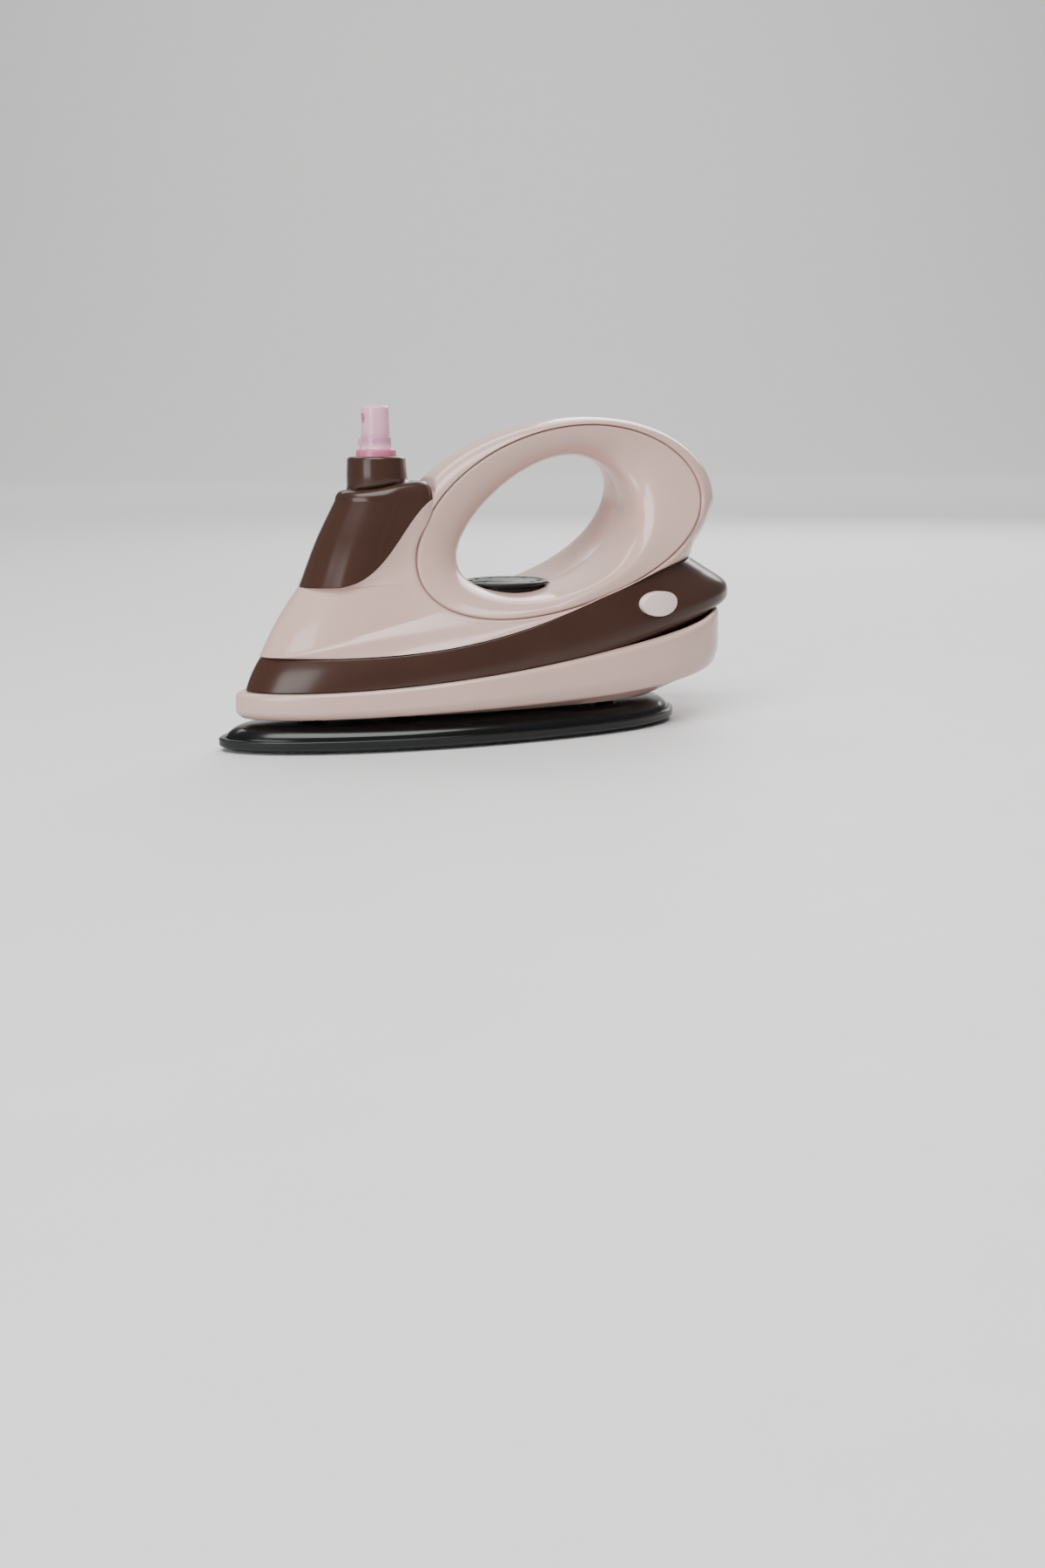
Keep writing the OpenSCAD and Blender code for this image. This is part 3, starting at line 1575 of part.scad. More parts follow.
// Wires: each is a run of named places
module wire_red() {
    up = floor_top + 2 * wire_d;
    color("red")
        from_nose() {
            tube([
                [box_x - wire_d, box_cell_y, floor_top + ear_t + wire_d],
                [box_x - wire_d, box_cell_y, box_top],
                [box_x - box_ear, switch_y, box_top + wire_d],
                [switch_x + switch_l / 2 + wire_d, switch_y, box_top + wire_d],
                [switch_x + switch_l / 2 + fit, switch_y, box_top + wire_d]
            ], wire_d, wire_turns);
        }
}
module wire_black() {
    side = -box_w / 2 - wire_d;
    color([0.1, 0.1, 0.1])
        from_nose() {
            tube([
                [box_x - wire_d, -box_cell_y, floor_top + ear_t + wire_d],
                [box_x - wire_d, -box_cell_y, box_top + wire_d],
                [box_x + box_ear, -box_cell_y, box_top + wire_d],
                [box_x + box_l, -box_cell_y, box_top + wire_d],
                [motor_x - box_ear, -motor_d / 2, motor_z],
                [motor_x + motor_l / 4, -motor_d / 2 - wire_d, motor_z + motor_d / 3],
                [motor_x + motor_l + wire_d, -motor_d / 2 - wire_d, motor_z + motor_d / 3],
                [motor_x + motor_l + wire_d, -motor_d / 4, motor_z],
                [motor_x + motor_l + fit, -motor_d / 4, motor_z]
            ], wire_d, wire_turns);
        }
}

sole_plate();
sole_cover();
sole_springs();
sole_screws();
base_pan();
mid_band();
housing_left();
housing_right();
housing_screws();
base_screws();
tank();
collar_gasket();
pump_collar();
pump_body();
pump_cap();
dip_tube();
inlet_ball();
pump_spring();
pump_piston();
spray_head();
nozzle_insert();
dial_knob();
dial_clip();
dial_seat();
seat_screws();
button_left();
button_right();
button_guides();
guide_screws();
battery_box();
box_screws();
battery_hatch();
hatch_screw();
cells();
contact_plates();
contact_springs();
motor();
motor_clamp();
clamp_screws();
motor_shaft();
eccentric_weight();
press_switch();
switch_plunger();
wire_red();
wire_black();
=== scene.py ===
"""Toy iron: smooth shells, clear sprayer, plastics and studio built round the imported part.

Lengths in the form functions are millimetres measured back from the tip of the nose (s), to the
side (y) and up (z). metres() turns them into the frame of the part.
"""

import json
import math

import bmesh
import bpy
import numpy as np
from mathutils import Euler, Matrix


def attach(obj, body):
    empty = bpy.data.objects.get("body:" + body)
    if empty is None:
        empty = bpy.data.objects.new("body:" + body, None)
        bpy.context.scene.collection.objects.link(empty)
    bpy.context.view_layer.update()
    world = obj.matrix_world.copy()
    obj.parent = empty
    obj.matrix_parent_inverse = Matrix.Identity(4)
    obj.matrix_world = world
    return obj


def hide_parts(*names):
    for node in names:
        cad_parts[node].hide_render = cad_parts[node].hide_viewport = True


bl_info = {
    "name": "Toy iron",
    "version": (1, 0, 0),
    "blender": (4, 5, 0),
    "location": "3D Viewport > Sidebar > Toy iron",
    "description": "Shells, sprayer, dial, buttons and finishes of a toy iron",
    "category": "Object",
}

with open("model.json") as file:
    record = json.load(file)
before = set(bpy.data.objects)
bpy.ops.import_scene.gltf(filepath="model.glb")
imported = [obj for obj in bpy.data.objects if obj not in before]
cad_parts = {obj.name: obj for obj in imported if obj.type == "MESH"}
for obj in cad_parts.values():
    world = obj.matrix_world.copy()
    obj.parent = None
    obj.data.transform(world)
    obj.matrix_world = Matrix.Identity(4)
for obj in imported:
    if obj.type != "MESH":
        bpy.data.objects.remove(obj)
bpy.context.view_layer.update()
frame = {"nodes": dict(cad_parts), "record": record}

# Sizes that several pieces share with the solids, in mm and degrees

OVERALL_L = 178.0
WALL = 2.0
SEAM_GAP = 0.25     # between mouldings, where a seam shows
FIT = 0.15          # between pieces that stay put
RUN_FIT = 0.06      # round a post that slides
LIP_H = 2.2         # lip with which one moulding enters the next
LIP_T = 1.5
NOSE_SHARE = 1.2    # power of the sine ahead of a plan's widest place
NOSE_INSET = 1.4    # how far a plan's nose goes back for each mm of inset
PILOT_D = 2.28
SCREW_HOLE_D = 2.5
SCREW_HEAD_D = 4.9
OVERRUN = 1.0       # how far a cut goes on past a face
GUIDES = ((30.0, 0.0), (126.0, 15.0), (126.0, -15.0))
PLUNGER = (47.0, 12.0)
PLUNGER_D = 4.0
BOX_START = 61.5
BOX_L = 54.6
BOX_HW = 12.55
BOX_BOSS_X = 118.8
BOX_BOSS_R = 3.2

# Housing: ovals of the side view, and the angles round them where its edge changes. SEEN_HOLE is
# the hole as it looks from outside, its upper rear side drawn in.

HOLE = dict(x=107.8, z=65.0, a=31.0, b=18.7, tilt=24.0, egg=0.17)
SEEN_HOLE = dict(x=108.68, z=64.74, a=31.7, b=18.1, tilt=24.0, egg=0.17)
RIDGE = dict(x=111.0, z=66.6, a=52.0, b=26.4, tilt=16.2, bend=2.2)
HANDLE = dict(x=116.7, z=67.1, a=56.1, b=31.8, tilt=7.1, egg=0.018)
REAR_PSI = -37.0
FRONT_PSI = 141.0
SEAM_PSI = 151.0
FOOT_PSI = 180.0
NOSE_PSI = 203.0
GRIP_HW = 9.2           # half width of the ridge at the grip, and at the deck
DECK_HW = 29.3
END_REACH = 17.0        # half width where a flank's end counts as far out
JOINT_HW = 4.8          # half width half-way up the edge behind the tank
NOSE_BOW = 2.4          # four times the bow of the edge between tank and band
BEAD_AT = 1.9           # from the groove's middle to the bead's
BEAD_W = 1.2
# MARK_W is the half width of the painted shade line along the groove's middle
MARK_W = 0.42           # half width of the darker line in the groove
BOSS_PSI = (-18.0, 25.0, 75.0, 125.0, 203.0)
BOSS_PLACE_SHARE = 0.75 # of the way from the hole's wall to the ridge
BOSS_D = 7.0
BOSS_START, BOSS_SHORT = 0.05, 0.1
HEAD_REST, SHANK_END = 4.5, 5.0
OUTSIDE = 40.0
GRIP_COLUMNS = 160
EVEN_COLUMNS, EVEN_COLUMNS_FADE = 26, 20    # columns either side of the rear that are evened
EVEN_FROM, EVEN_FADE = 9, 6                 # first sample below the ridge that moves
EVEN_TIMES = 130

# Band and side buttons

COLLAR_NOSE = 14.3
COLLAR_Z = 28.2
COLLAR_W = 61.0
BAND_NOSE = 9.2
BAND_REAR = 169.5
BAND_HW = 32.1
BAND_BULGE = 2.0        # four times how far the wall bulges
BAND_FOOT = 18.2
BAND_RISE = 17.0
BAND_TAIL = 0.9
BEAK_TAIL = 0.8         # power of the plan where the beak ends
BEAK_SHARE = 0.45       # share of the band's height where it ends
BUTTON_MID = (138.9, -29.3, 40.4)
BUTTON_TURN = 14.0
BUTTON_A = 7.75
BUTTON_B = 4.0
BUTTON_FIT = 0.2
BUTTON_PROUD = 0.4
BUTTON_DOME = 0.4
BUTTON_DOME_R = 37.9    # radius of the dome's curve
BUTTON_SIDE, BUTTON_BACK, BUTTON_EDGE = 2.0, 3.0, 0.1
BUTTON_STEM_R, BUTTON_STEM_END, BUTTON_STEM_EDGE = 2.0, -13.0, 0.2
BUTTON_CUT_IN, BUTTON_CUT_OUT = -9.0, 6.0

# Pan

PAN_NOSE, PAN_REAR = 5.8, 172.0
PAN_TOP_NOSE, PAN_TOP_REAR = 8.0, 170.4
PAN_WIDE = 105.0
PAN_HW = 34.5
PAN_ROUND = 4.5
PAN_SHOULDER = 8.7
SHOULDER_SHARE = 0.6    # of the skirt's height, where the shoulder starts
SKIRT_TAIL = 0.7
SKIRT_FOOT, SKIRT_SLOPE = 9.3, 4.2
SKIRT_SWEEP, SKIRT_SWEEP_X, SKIRT_SWEEP_L = 5.0, 110.0, 60.0
REAR_LIFT = 2.6         # how far the rear's upper edge goes up into the band
REAR_LIFT_SHARE = 0.3
FLOOR_NOSE, FLOOR_REAR = 16.0, 147.0
FLOOR_HW = 26.0
FLOOR_Z, FLOOR_TOP = 9.5, 11.5
SLEEVE_D = 13.0
SLEEVE_Z, SLEEVE_TOP = 10.5, 18.0
SPRING_WELL_D = 10.2
SPRING_WELL_TOP = 16.0
PLUNGER_HOLE_D = 4.3
PAN_CUT_Z, PAN_CUT_TOP = 8.0, 14.0

# Sole

SOLE_WIDE = 98.0
SOLE_REAR = 154.7
SOLE_HW = 34.0
SOLE_TAIL = 0.75
PLATE_H = 4.25
PLATE_T = 2.0
PLATE_ROUND = 5.5
COVER_Z, COVER_TOP = 4.4, 8.0
COVER_ROUND = 6.6
COVER_INSET = 1.6
COVER_WALL = 1.6
BOX_CLEARANCE = 0.6
POST_D = 6.0
POST_Z, POST_TOP = 2.02, 18.06
PLUNGER_Z, PLUNGER_TOP = 7.2, 12.7
PLATE_HEAD_TOP = 1.4
POST_PILOT_TOP, POST_PILOT_Z = 7.0, 10.0

# Tank and its neck

TANK_X = 27.7
TANK_Z = 49.2
TANK_RUN = 42.3         # length and rise of the foot's curve
TANK_RISE = 26.0
TANK_HW = 15.0
TANK_NOSE_L = 16.0
TANK_REAR = 69.8
TANK_CORNER = 6.0
TANK_LEAN_SHARE = 0.14
SHOULDER_Z = 75.0
SHOULDER_R = 3.0
TOP_RISE = 2.4          # rise of the top towards the rear, and its length
TOP_RUN = 20.4
FOOT_MID = 48.0         # where the tank's closed foot draws together
FOOT_PLAN_Z = 60.0      # height of the plan that the foot follows
NECK_X = 53.9
NECK_R, NECK_TOP_R = 9.4, 9.1
NECK_Z, NECK_STRAIGHT_TOP = 81.9, 86.6
NECK_TOP = 88.0
NECK_EDGE = 1.2
NECK_FILLET = 1.6
NECK_REACH = 10.6       # radius where the fillet starts, at most
NECK_INSIDE = ((6.75, 88.0), (6.55, 87.9), (6.5, 87.7), (6.5, 85.8), (5.9, 85.8), (5.9, 72.0))
TANK_POST = (44.0, 0.0)
TANK_POST_D = 8.0
TANK_POST_Z, TANK_POST_TOP = 15.65, 52.0
TANK_PILOT_Z, TANK_PILOT_TOP = 14.0, 29.0

# Sprayer: outlines are (radius, height) round the neck's axis

RING_OUTLINE = (
    (3.9, 79.6), (5.4, 79.6), (5.72, 79.9), (5.72, 86.6), (6.3, 86.6), (6.4, 87.2), (6.32, 88.0),
    (6.15, 89.6), (6.05, 89.95), (5.8, 90.1), (5.1, 90.1), (4.5, 90.1), (4.5, 86.6), (3.9, 86.6),
)
SLEEVE_OUTLINE = (
    (4.5, 90.15), (5.35, 90.15), (5.05, 90.6), (4.84, 91.2), (4.76, 92.5), (4.68, 93.7),
    (4.6, 93.9), (4.5, 93.95),
)
LUG_R, LUG_Z, LUG_TURN = 4.45, 92.2, 172.0
LUG_HALVES = (1.15, 1.1, 1.45)
HEAD_FOOT_OUTLINE = (
    (1.56, 92.95), (2.5, 92.95), (2.5, 96.9), (3.4, 96.95), (3.4, 92.95), (4.25, 92.95),
    (4.38, 93.1),
)
HEAD_R, HEAD_TOP_R = 4.42, 4.22
HEAD_Z, HEAD_EDGE_Z = 93.3, 102.3
HEAD_EDGE = (0.95, 0.9)
HEAD_TOP_OUTLINE = (
    (2.0, 103.28), (0.9, 103.3), (0.02, 103.3), (0.02, 99.0), (0.7, 98.9), (1.56, 98.8),
)
STEM_SEEN_Z, STEM_SEEN_W, STEM_SEEN_SHARE = 93.0, 1.1, 0.5
JET_Z = 99.5
JET_AT = NECK_X - 2.0
JET_HOLE_R, JET_HOLE_L = 1.7, 3.5
JET_OUTLINE = ((0.3, 0.0), (1.62, 0.0), (1.62, 1.7), (1.2, 1.9), (0.55, 1.75), (0.3, 1.7))
DUCT_R, DUCT_BACK, DUCT_FRONT = 0.7, 2.4, 0.2

# Dial: the spindle's outline is (radius, height), the flange's (radius, depth below the top)

DIAL_X = 97.0
DIAL_TOP = 47.9
HUB_WELL_R, FLANGE_WELL_R = 13.3, 14.8
HUB_WELL_Z, FLANGE_WELL_Z, WELL_TOP = 39.5, 46.2, 62.0
SPINDLE_OUTLINE = (
    (0.02, 32.5), (2.4, 32.5), (2.5, 32.6), (2.5, 33.65), (2.0, 33.7), (2.0, 34.5), (2.5, 34.55),
)
FLANGE_OUTLINE = (
    (2.5, 2.4), (11.2, 2.4), (11.2, 6.4), (12.7, 6.4), (12.8, 6.25), (12.8, 2.0), (12.6, 1.9),
    (12.2, 1.85), (12.2, 1.25), (13.6, 1.2), (14.1, 1.05), (14.3, 0.65), (14.2, 0.25),
    (13.9, 0.04), (13.5, 0), (12.6, 0), (12.3, 0.12), (12.1, 0.25), (6.2, 0.25), (5.9, 0.2),
    (5.6, 0.04), (5.2, 0), (0.02, 0),
)
TICK_REACH = 12.0
TICK_ROUND = 0.2
TICK_LOW, TICK_HIGH = 0.4, 0.03
POINTER_L, POINTER_W = 5.6, 1.1
TICK_L, TICK_W = 1.6, 0.5
TICK_STEP = 30

# Studio, in metres and degrees

VIEW_TURN = 25.2
FLOOR_FRONT, FLOOR_BACK, FLOOR_HEIGHT = -6.0, 3.0, 8.0
FLOOR_SWEEP = 1.5
FLOOR_SIDE = 8.0
CAMERA_AT = (-0.20343, -0.45993, 0.0946)
CAMERA_DOWN, CAMERA_TURN, CAMERA_ROLL = 12.82, -25.28, -0.6
CAMERA_LENS, CAMERA_SENSOR = 35.424, 36.0


def mix(a, b, t):
    """a + (b - a) t."""
    return a + (b - a) * t


def cosd(a):
    """Cosine of degrees."""
    return np.cos(np.radians(a))


def sind(a):
    """Sine of degrees."""
    return np.sin(np.radians(a))


def turns(steps):
    """Equal steps once round, in degrees, without the one that closes the circle."""
    return np.linspace(0, 360, steps, endpoint=False)


def metres(s, y, z):
    """Points of the part's frame from distance behind the nose, sideways and up in mm."""
    s, y, z = np.broadcast_arrays(s, y, z)
    return np.stack([(s - OVERALL_L / 2) * 0.001, y * 0.001, z * 0.001], axis=-1)


def spline(x, xs, ys):
    """Cubic through (xs, ys): its slope at a knot is the mean of those beside it, 0 at a peak."""
    xs, ys = np.asarray(xs, float), np.asarray(ys, float)
    d = np.diff(ys) / np.diff(xs)
    m = np.concatenate([[d[0]], np.where(d[1:] * d[:-1] > 0, (d[1:] + d[:-1]) / 2, 0), [d[-1]]])
    i = np.clip(np.searchsorted(xs, x) - 1, 0, len(xs) - 2)
    h = xs[i + 1] - xs[i]
    t = np.clip((x - xs[i]) / h, 0, 1)
    return (
        (2 * t**3 - 3 * t**2 + 1) * ys[i]
        + (t**3 - 2 * t**2 + t) * h * m[i]
        + (3 * t**2 - 2 * t**3) * ys[i + 1]
        + (t**3 - t**2) * h * m[i + 1]
    )


def curve_of(points, steps):
    """A smooth run through control points, equal steps of the spline's own parameter."""
    p = np.asarray(points, float)
    k = np.arange(len(p))
    t = np.linspace(0, len(p) - 1, steps)
    return np.stack([spline(t, k, p[:, 0]), spline(t, k, p[:, 1])], axis=-1)


def ring_x(b, nose, rear, wide, e):
    """Distance from the nose round a plan: a cosine of b ahead of the widest place, and its power
    e behind."""
    c = cosd(b)
    return np.where(c > 0, wide - (wide - nose) * c, wide + (rear - wide) * np.abs(c) ** e)


def ring_w(b, hw, e):
    """Sideways place round a plan: a power of the sine, NOSE_SHARE ahead and e behind."""
    s = sind(b)
    return -hw * np.sign(s) * np.abs(s) ** np.where(cosd(b) > 0, NOSE_SHARE, e)


def ring_b(x, nose, rear, wide, e):
    """Angle of a plan's point at distance x from the nose: the inverse of ring_x."""
    ahead = np.arccos(np.clip((wide - x) / (wide - nose), -1, 1))
    behind = math.pi - np.arccos(np.clip((x - wide) / (rear - wide), 0, 1) ** (1 / e))
    return np.degrees(np.where(x < wide, ahead, behind))


def oval(psi, x, z, a, b, tilt, egg=0.0, bend=0.0):
    """Tilted ellipse in the side view, fuller at one end by egg and bent by a cosine of 2 psi."""
    u = a * cosd(psi)
    v = b * sind(psi) * (1 + egg * cosd(psi)) - bend * cosd(2 * psi)
    across = x + u * cosd(tilt) - v * sind(tilt)
    return np.stack([across, z + u * sind(tilt) + v * cosd(tilt)], axis=-1)


COLLAR_REAR, COLLAR_REAR_Z = oval(np.float64(REAR_PSI), **HANDLE)


def rear_share(psi):
    """1 at the rear of the deck, 0 away from it: a sine where that is above zero."""
    return np.maximum(0, sind(psi - 250))


def deck_share(psi):
    """0 at the narrow top of the grip, 1 at the deck: a power of half of one minus a cosine."""
    return ((1 - cosd(psi - 80)) / 2) ** (2 - 0.4 * rear_share(psi))


def ridge_hw(psi):
    """Half width of the housing at the ridge, between the grip's and the deck's."""
    return mix(GRIP_HW, DECK_HW, deck_share(psi))


def funnel_power(psi):
    """Power of the funnel's superellipse: 2 at the grip, 3 at the deck and more at its rear."""
    return 2 + deck_share(psi) * (1 + 9 * rear_share(psi))


def flank_power(psi):
    """Power of the flank: 2.7, less towards the nose by a cosine, and 1.3 at the rear corner."""
    turn = np.minimum(np.abs(psi - REAR_PSI), np.abs(REAR_PSI + 360 - psi)) / 50
    ahead = np.clip((psi - FRONT_PSI) / (NOSE_PSI - FRONT_PSI), 0, 1)
    nose = (1 - np.cos(ahead * math.pi)) / 2
    return mix(1.3, mix(2.7, 1.9, nose), np.minimum(1, turn))


def end_share(h):
    """0 for a wall that ends on the middle plane, nearing 1 where it ends far out: a bell curve."""
    return 1 - np.exp(-((h / END_REACH) ** 2))


def along(x):
    """Share of the way along the band's upper edge."""
    return np.clip((x - COLLAR_NOSE) / (COLLAR_REAR - COLLAR_NOSE), 0, 1)


def band_bottom(u):
    """Height of the band's lower edge: a power of the share u of the way along."""
    return BAND_FOOT + BAND_RISE * u**1.8


def band_top(u):
    """Height of the band's upper edge: half a cosine wave of a power of u."""
    return COLLAR_Z + (COLLAR_REAR_Z - COLLAR_Z) * (1 - cosd(180 * u**1.55)) / 2


def collar_x(b):
    """Distance from the nose round the band's upper edge."""
    return ring_x(b, COLLAR_NOSE, COLLAR_REAR, SOLE_WIDE, BAND_TAIL)


def skirt_bottom(x):
    """Height of the pan's lower edge: a slope, and a square from SKIRT_SWEEP_X on."""
    sweep = np.maximum(0, x - SKIRT_SWEEP_X) / SKIRT_SWEEP_L
    return SKIRT_FOOT + SKIRT_SLOPE * x / PAN_REAR + SKIRT_SWEEP * sweep**2


def seam_height(x):
    """Height of the tank's foot: half a cosine wave of a power of the way along."""
    t = np.clip((x - TANK_X) / TANK_RUN, 0, 1)
    return TANK_Z + TANK_RISE * (1 - cosd(180 * t**1.6)) / 2


def tank_front(z):
    """Front of the tank at height z: a spline of the share of its height."""
    rise = np.maximum(0, z - TANK_Z) / (SHOULDER_Z - TANK_Z)
    return TANK_X + TANK_NOSE_L * spline(rise, [0, 0.55, 1, 1.6], [0, 0.385, 0.78, 1.3])


def tank_side(z):
    """Half width of the tank between nose and corner, which falls evenly with the height."""
    return TANK_HW - TANK_LEAN_SHARE * np.maximum(0, z - TANK_Z)


def tank_half(x, z):
    """Half width of the tank at x: its nose is a power of a quarter circle."""
    t = np.clip((x - tank_front(z)) / TANK_NOSE_L, 0, 1)
    return tank_side(z) * np.maximum(0, 1 - (1 - t) ** 2) ** (NOSE_SHARE / 2)


def seam_half(x, z):
    """Half width of the tank, with a quarter circle taken off its rear corner."""
    into = np.clip(x - TANK_REAR + TANK_CORNER, 0, TANK_CORNER)
    return tank_half(x, z) - TANK_CORNER + np.sqrt(np.maximum(0, TANK_CORNER**2 - into**2))


# Meshes from grids of points


def grid_faces(rows, cols, wrap_rows=False, wrap_cols=True):
    """Quads between neighbouring rows and columns of a grid of points, as one array."""
    i = np.arange(rows if wrap_rows else rows - 1)[:, None]
    j = np.arange(cols if wrap_cols else cols - 1)[None, :]
    i2, j2 = (i + 1) % rows, (j + 1) % cols
    corners = [i * cols + j, i * cols + j2, i2 * cols + j2, i2 * cols + j]
    return np.stack(corners, axis=-1).reshape(-1, 4)


def loft(rings, wrap=False):
    """A closed skin over rings of points, as its points and arrays of faces: quads between rings,
    and a fan over each open end."""
    rows, cols = rings.shape[:2]
    points = rings.reshape(-1, 3)
    quads = grid_faces(rows, cols, wrap)
    if wrap:
        return points, [quads]
    points = np.concatenate([points, rings[:1].mean(1), rings[-1:].mean(1)])
    j = np.arange(cols)
    first = np.stack([(j + 1) % cols, j, np.full(cols, rows * cols)], axis=-1)
    last = np.stack([j, (j + 1) % cols, np.full(cols, rows * cols + 1)], axis=-1)
    last[:, :2] += (rows - 1) * cols
    return points, [quads, first, last]


def revolve(outline, steps=96, centre=(0.0, 0.0)):
    """An outline of (radius, height) carried round the upright axis through centre, in mm."""
    p = np.asarray(outline, float)
    a = turns(steps)
    s = centre[0] + p[:, :1] * cosd(a)[None]
    y = centre[1] + p[:, :1] * sind(a)[None]
    return metres(s, y, p[:, 1:2] + 0 * s)


def rounded(corners, radii, steps=5):
    """A closed polyline whose corners are swapped for arcs: quadratic curves from one side of each
    corner to the other, radius mm back along both sides."""
    p = np.asarray(corners, float)
    r = np.broadcast_to(np.asarray(radii, float), len(p))[:, None]
    to_last, to_next = np.roll(p, 1, 0) - p, np.roll(p, -1, 0) - p
    a = p + to_last / np.linalg.norm(to_last, axis=1, keepdims=True) * r
    b = p + to_next / np.linalg.norm(to_next, axis=1, keepdims=True) * r
    t = np.linspace(0, 1, steps)[None, :, None]
    arcs = (1 - t) ** 2 * a[:, None] + 2 * t * (1 - t) * p[:, None] + t**2 * b[:, None]
    return arcs.reshape(-1, 2)


def prism(outline, low, high):
    """An upright prism over a closed outline of (s, y) points, in mm."""
    o = np.asarray(outline, float)
    return loft(np.stack([metres(o[:, 0], o[:, 1], low), metres(o[:, 0], o[:, 1], high)]))


def round_bar(s, y, low, high, d, steps=32):
    """An upright round bar between two heights, in mm."""
    a = turns(steps)
    return prism(np.stack([s + d / 2 * cosd(a), y + d / 2 * sind(a)], axis=-1), low, high)


def side_bar(s, z, near, far, d, steps=40):
    """A round bar along Y between two distances from the middle plane, in mm."""
    a = turns(steps)
    ring = [metres(s + d / 2 * cosd(a), y, z + d / 2 * sind(a)) for y in (near, far)]
    return loft(np.stack(ring))


def guide_bars(low, high, d, steps=32):
    """One upright round bar for each of the sole's three guides."""
    return [round_bar(s, y, low, high, d, steps) for s, y in GUIDES]


def closed_mesh(name, islands, merge, slivers=0.0, marks=None):
    """A mesh from islands of (points in metres, arrays of faces), turned outwards. Points nearer
    than merge become one, and edges shorter than slivers go. marks holds one number for each
    point, kept as the attribute that materials read."""
    faces, first = [], 0
    for points, parts in islands:
        for part in parts:
            faces += (part + first).tolist()
        first += len(points)
    mesh = bpy.data.meshes.new(name)
    mesh.from_pydata(np.concatenate([points for points, parts in islands]).tolist(), [], faces)
    if marks is not None:
        mesh.attributes.new("mark", "FLOAT", "POINT").data.foreach_set("value", marks.ravel())
    edit = bmesh.new()
    edit.from_mesh(mesh)
    bmesh.ops.remove_doubles(edit, verts=edit.verts, dist=merge)
    if slivers:
        bmesh.ops.dissolve_degenerate(edit, edges=edit.edges, dist=slivers)
    bmesh.ops.recalc_face_normals(edit, faces=edit.faces)
    edit.to_mesh(mesh)
    edit.free()
    return mesh


def place(name, mesh):
    """An object with that mesh, in the scene."""
    made = bpy.data.objects.new(name, mesh)
    bpy.context.scene.collection.objects.link(made)
    return made


def finish_mesh(made, material, sharp=32.0):
    """Smooth shading with creases where two faces meet at more than sharp degrees."""
    made.data.shade_smooth()
    made.data.set_sharp_from_angle(angle=math.radians(sharp))
    made.data.materials.clear()
    made.data.materials.append(material)


def piece(name, islands, material, body, replaced=(), marks=None):
    """A finished object from closed islands. It rides on a body, and it stands in for the CAD nodes
    in replaced, if any."""
    made = place(name, closed_mesh(name, islands, 2e-6, slivers=1e-7, marks=marks))
    finish_mesh(made, material)
    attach(made, body)
    if replaced:
        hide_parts(*replaced)
    return made


def cut(made, islands):
    """Takes closed islands out of a piece, exactly, and keeps the result as its mesh."""
    tool = place("cutter", closed_mesh("cutter", islands, 1e-6))
    change = made.modifiers.new("openings", "BOOLEAN")
    change.operation = "DIFFERENCE"
    change.solver = "EXACT"
    change.object = tool
    bpy.context.view_layer.update()
    result = bpy.data.meshes.new_from_object(
        made.evaluated_get(bpy.context.evaluated_depsgraph_get())
    )
    if len(result.polygons) < 0.5 * len(made.data.polygons):
        raise RuntimeError("the openings of " + made.name + " took most of it away")
    material = made.data.materials[0]
    made.modifiers.clear()
    made.data = result
    bpy.data.objects.remove(tool)
    finish_mesh(made, material)


# Finishes


def set_inputs(m, node, **values):
    """Sets inputs of a node of material m, and wires those whose value is a socket. Low lines in
    their names stand for spaces."""
    for key, value in values.items():
        socket = node.inputs[key.replace("_", " ")]
        if isinstance(value, bpy.types.NodeSocket):
            m.node_tree.links.new(value, socket)
        else:
            socket.default_value = value


def add_node(m, kind, **values):
    """A new node of material m with its inputs set."""
    node = m.node_tree.nodes.new("ShaderNode" + kind)
    set_inputs(m, node, **values)
    return node


def new_material(name, colour):
    """A material of nodes and the socket of its Object coordinates."""
    m = bpy.data.materials.new(name)
    m.use_nodes = True
    m.diffuse_color = (*colour, 1)
    return m, add_node(m, "TexCoord").outputs["Object"]


def tone_between(m, driver, low, high, places):
    """Colour that runs from low to high while its driver runs between two places."""
    ramp = add_node(m, "ValToRGB", Fac=driver)
    for stop, place_of_stop, colour in zip(ramp.color_ramp.elements, places, (low, high)):
        stop.position = place_of_stop
        stop.color = (*np.minimum(1, colour), 1)
    return ramp.outputs["Color"]


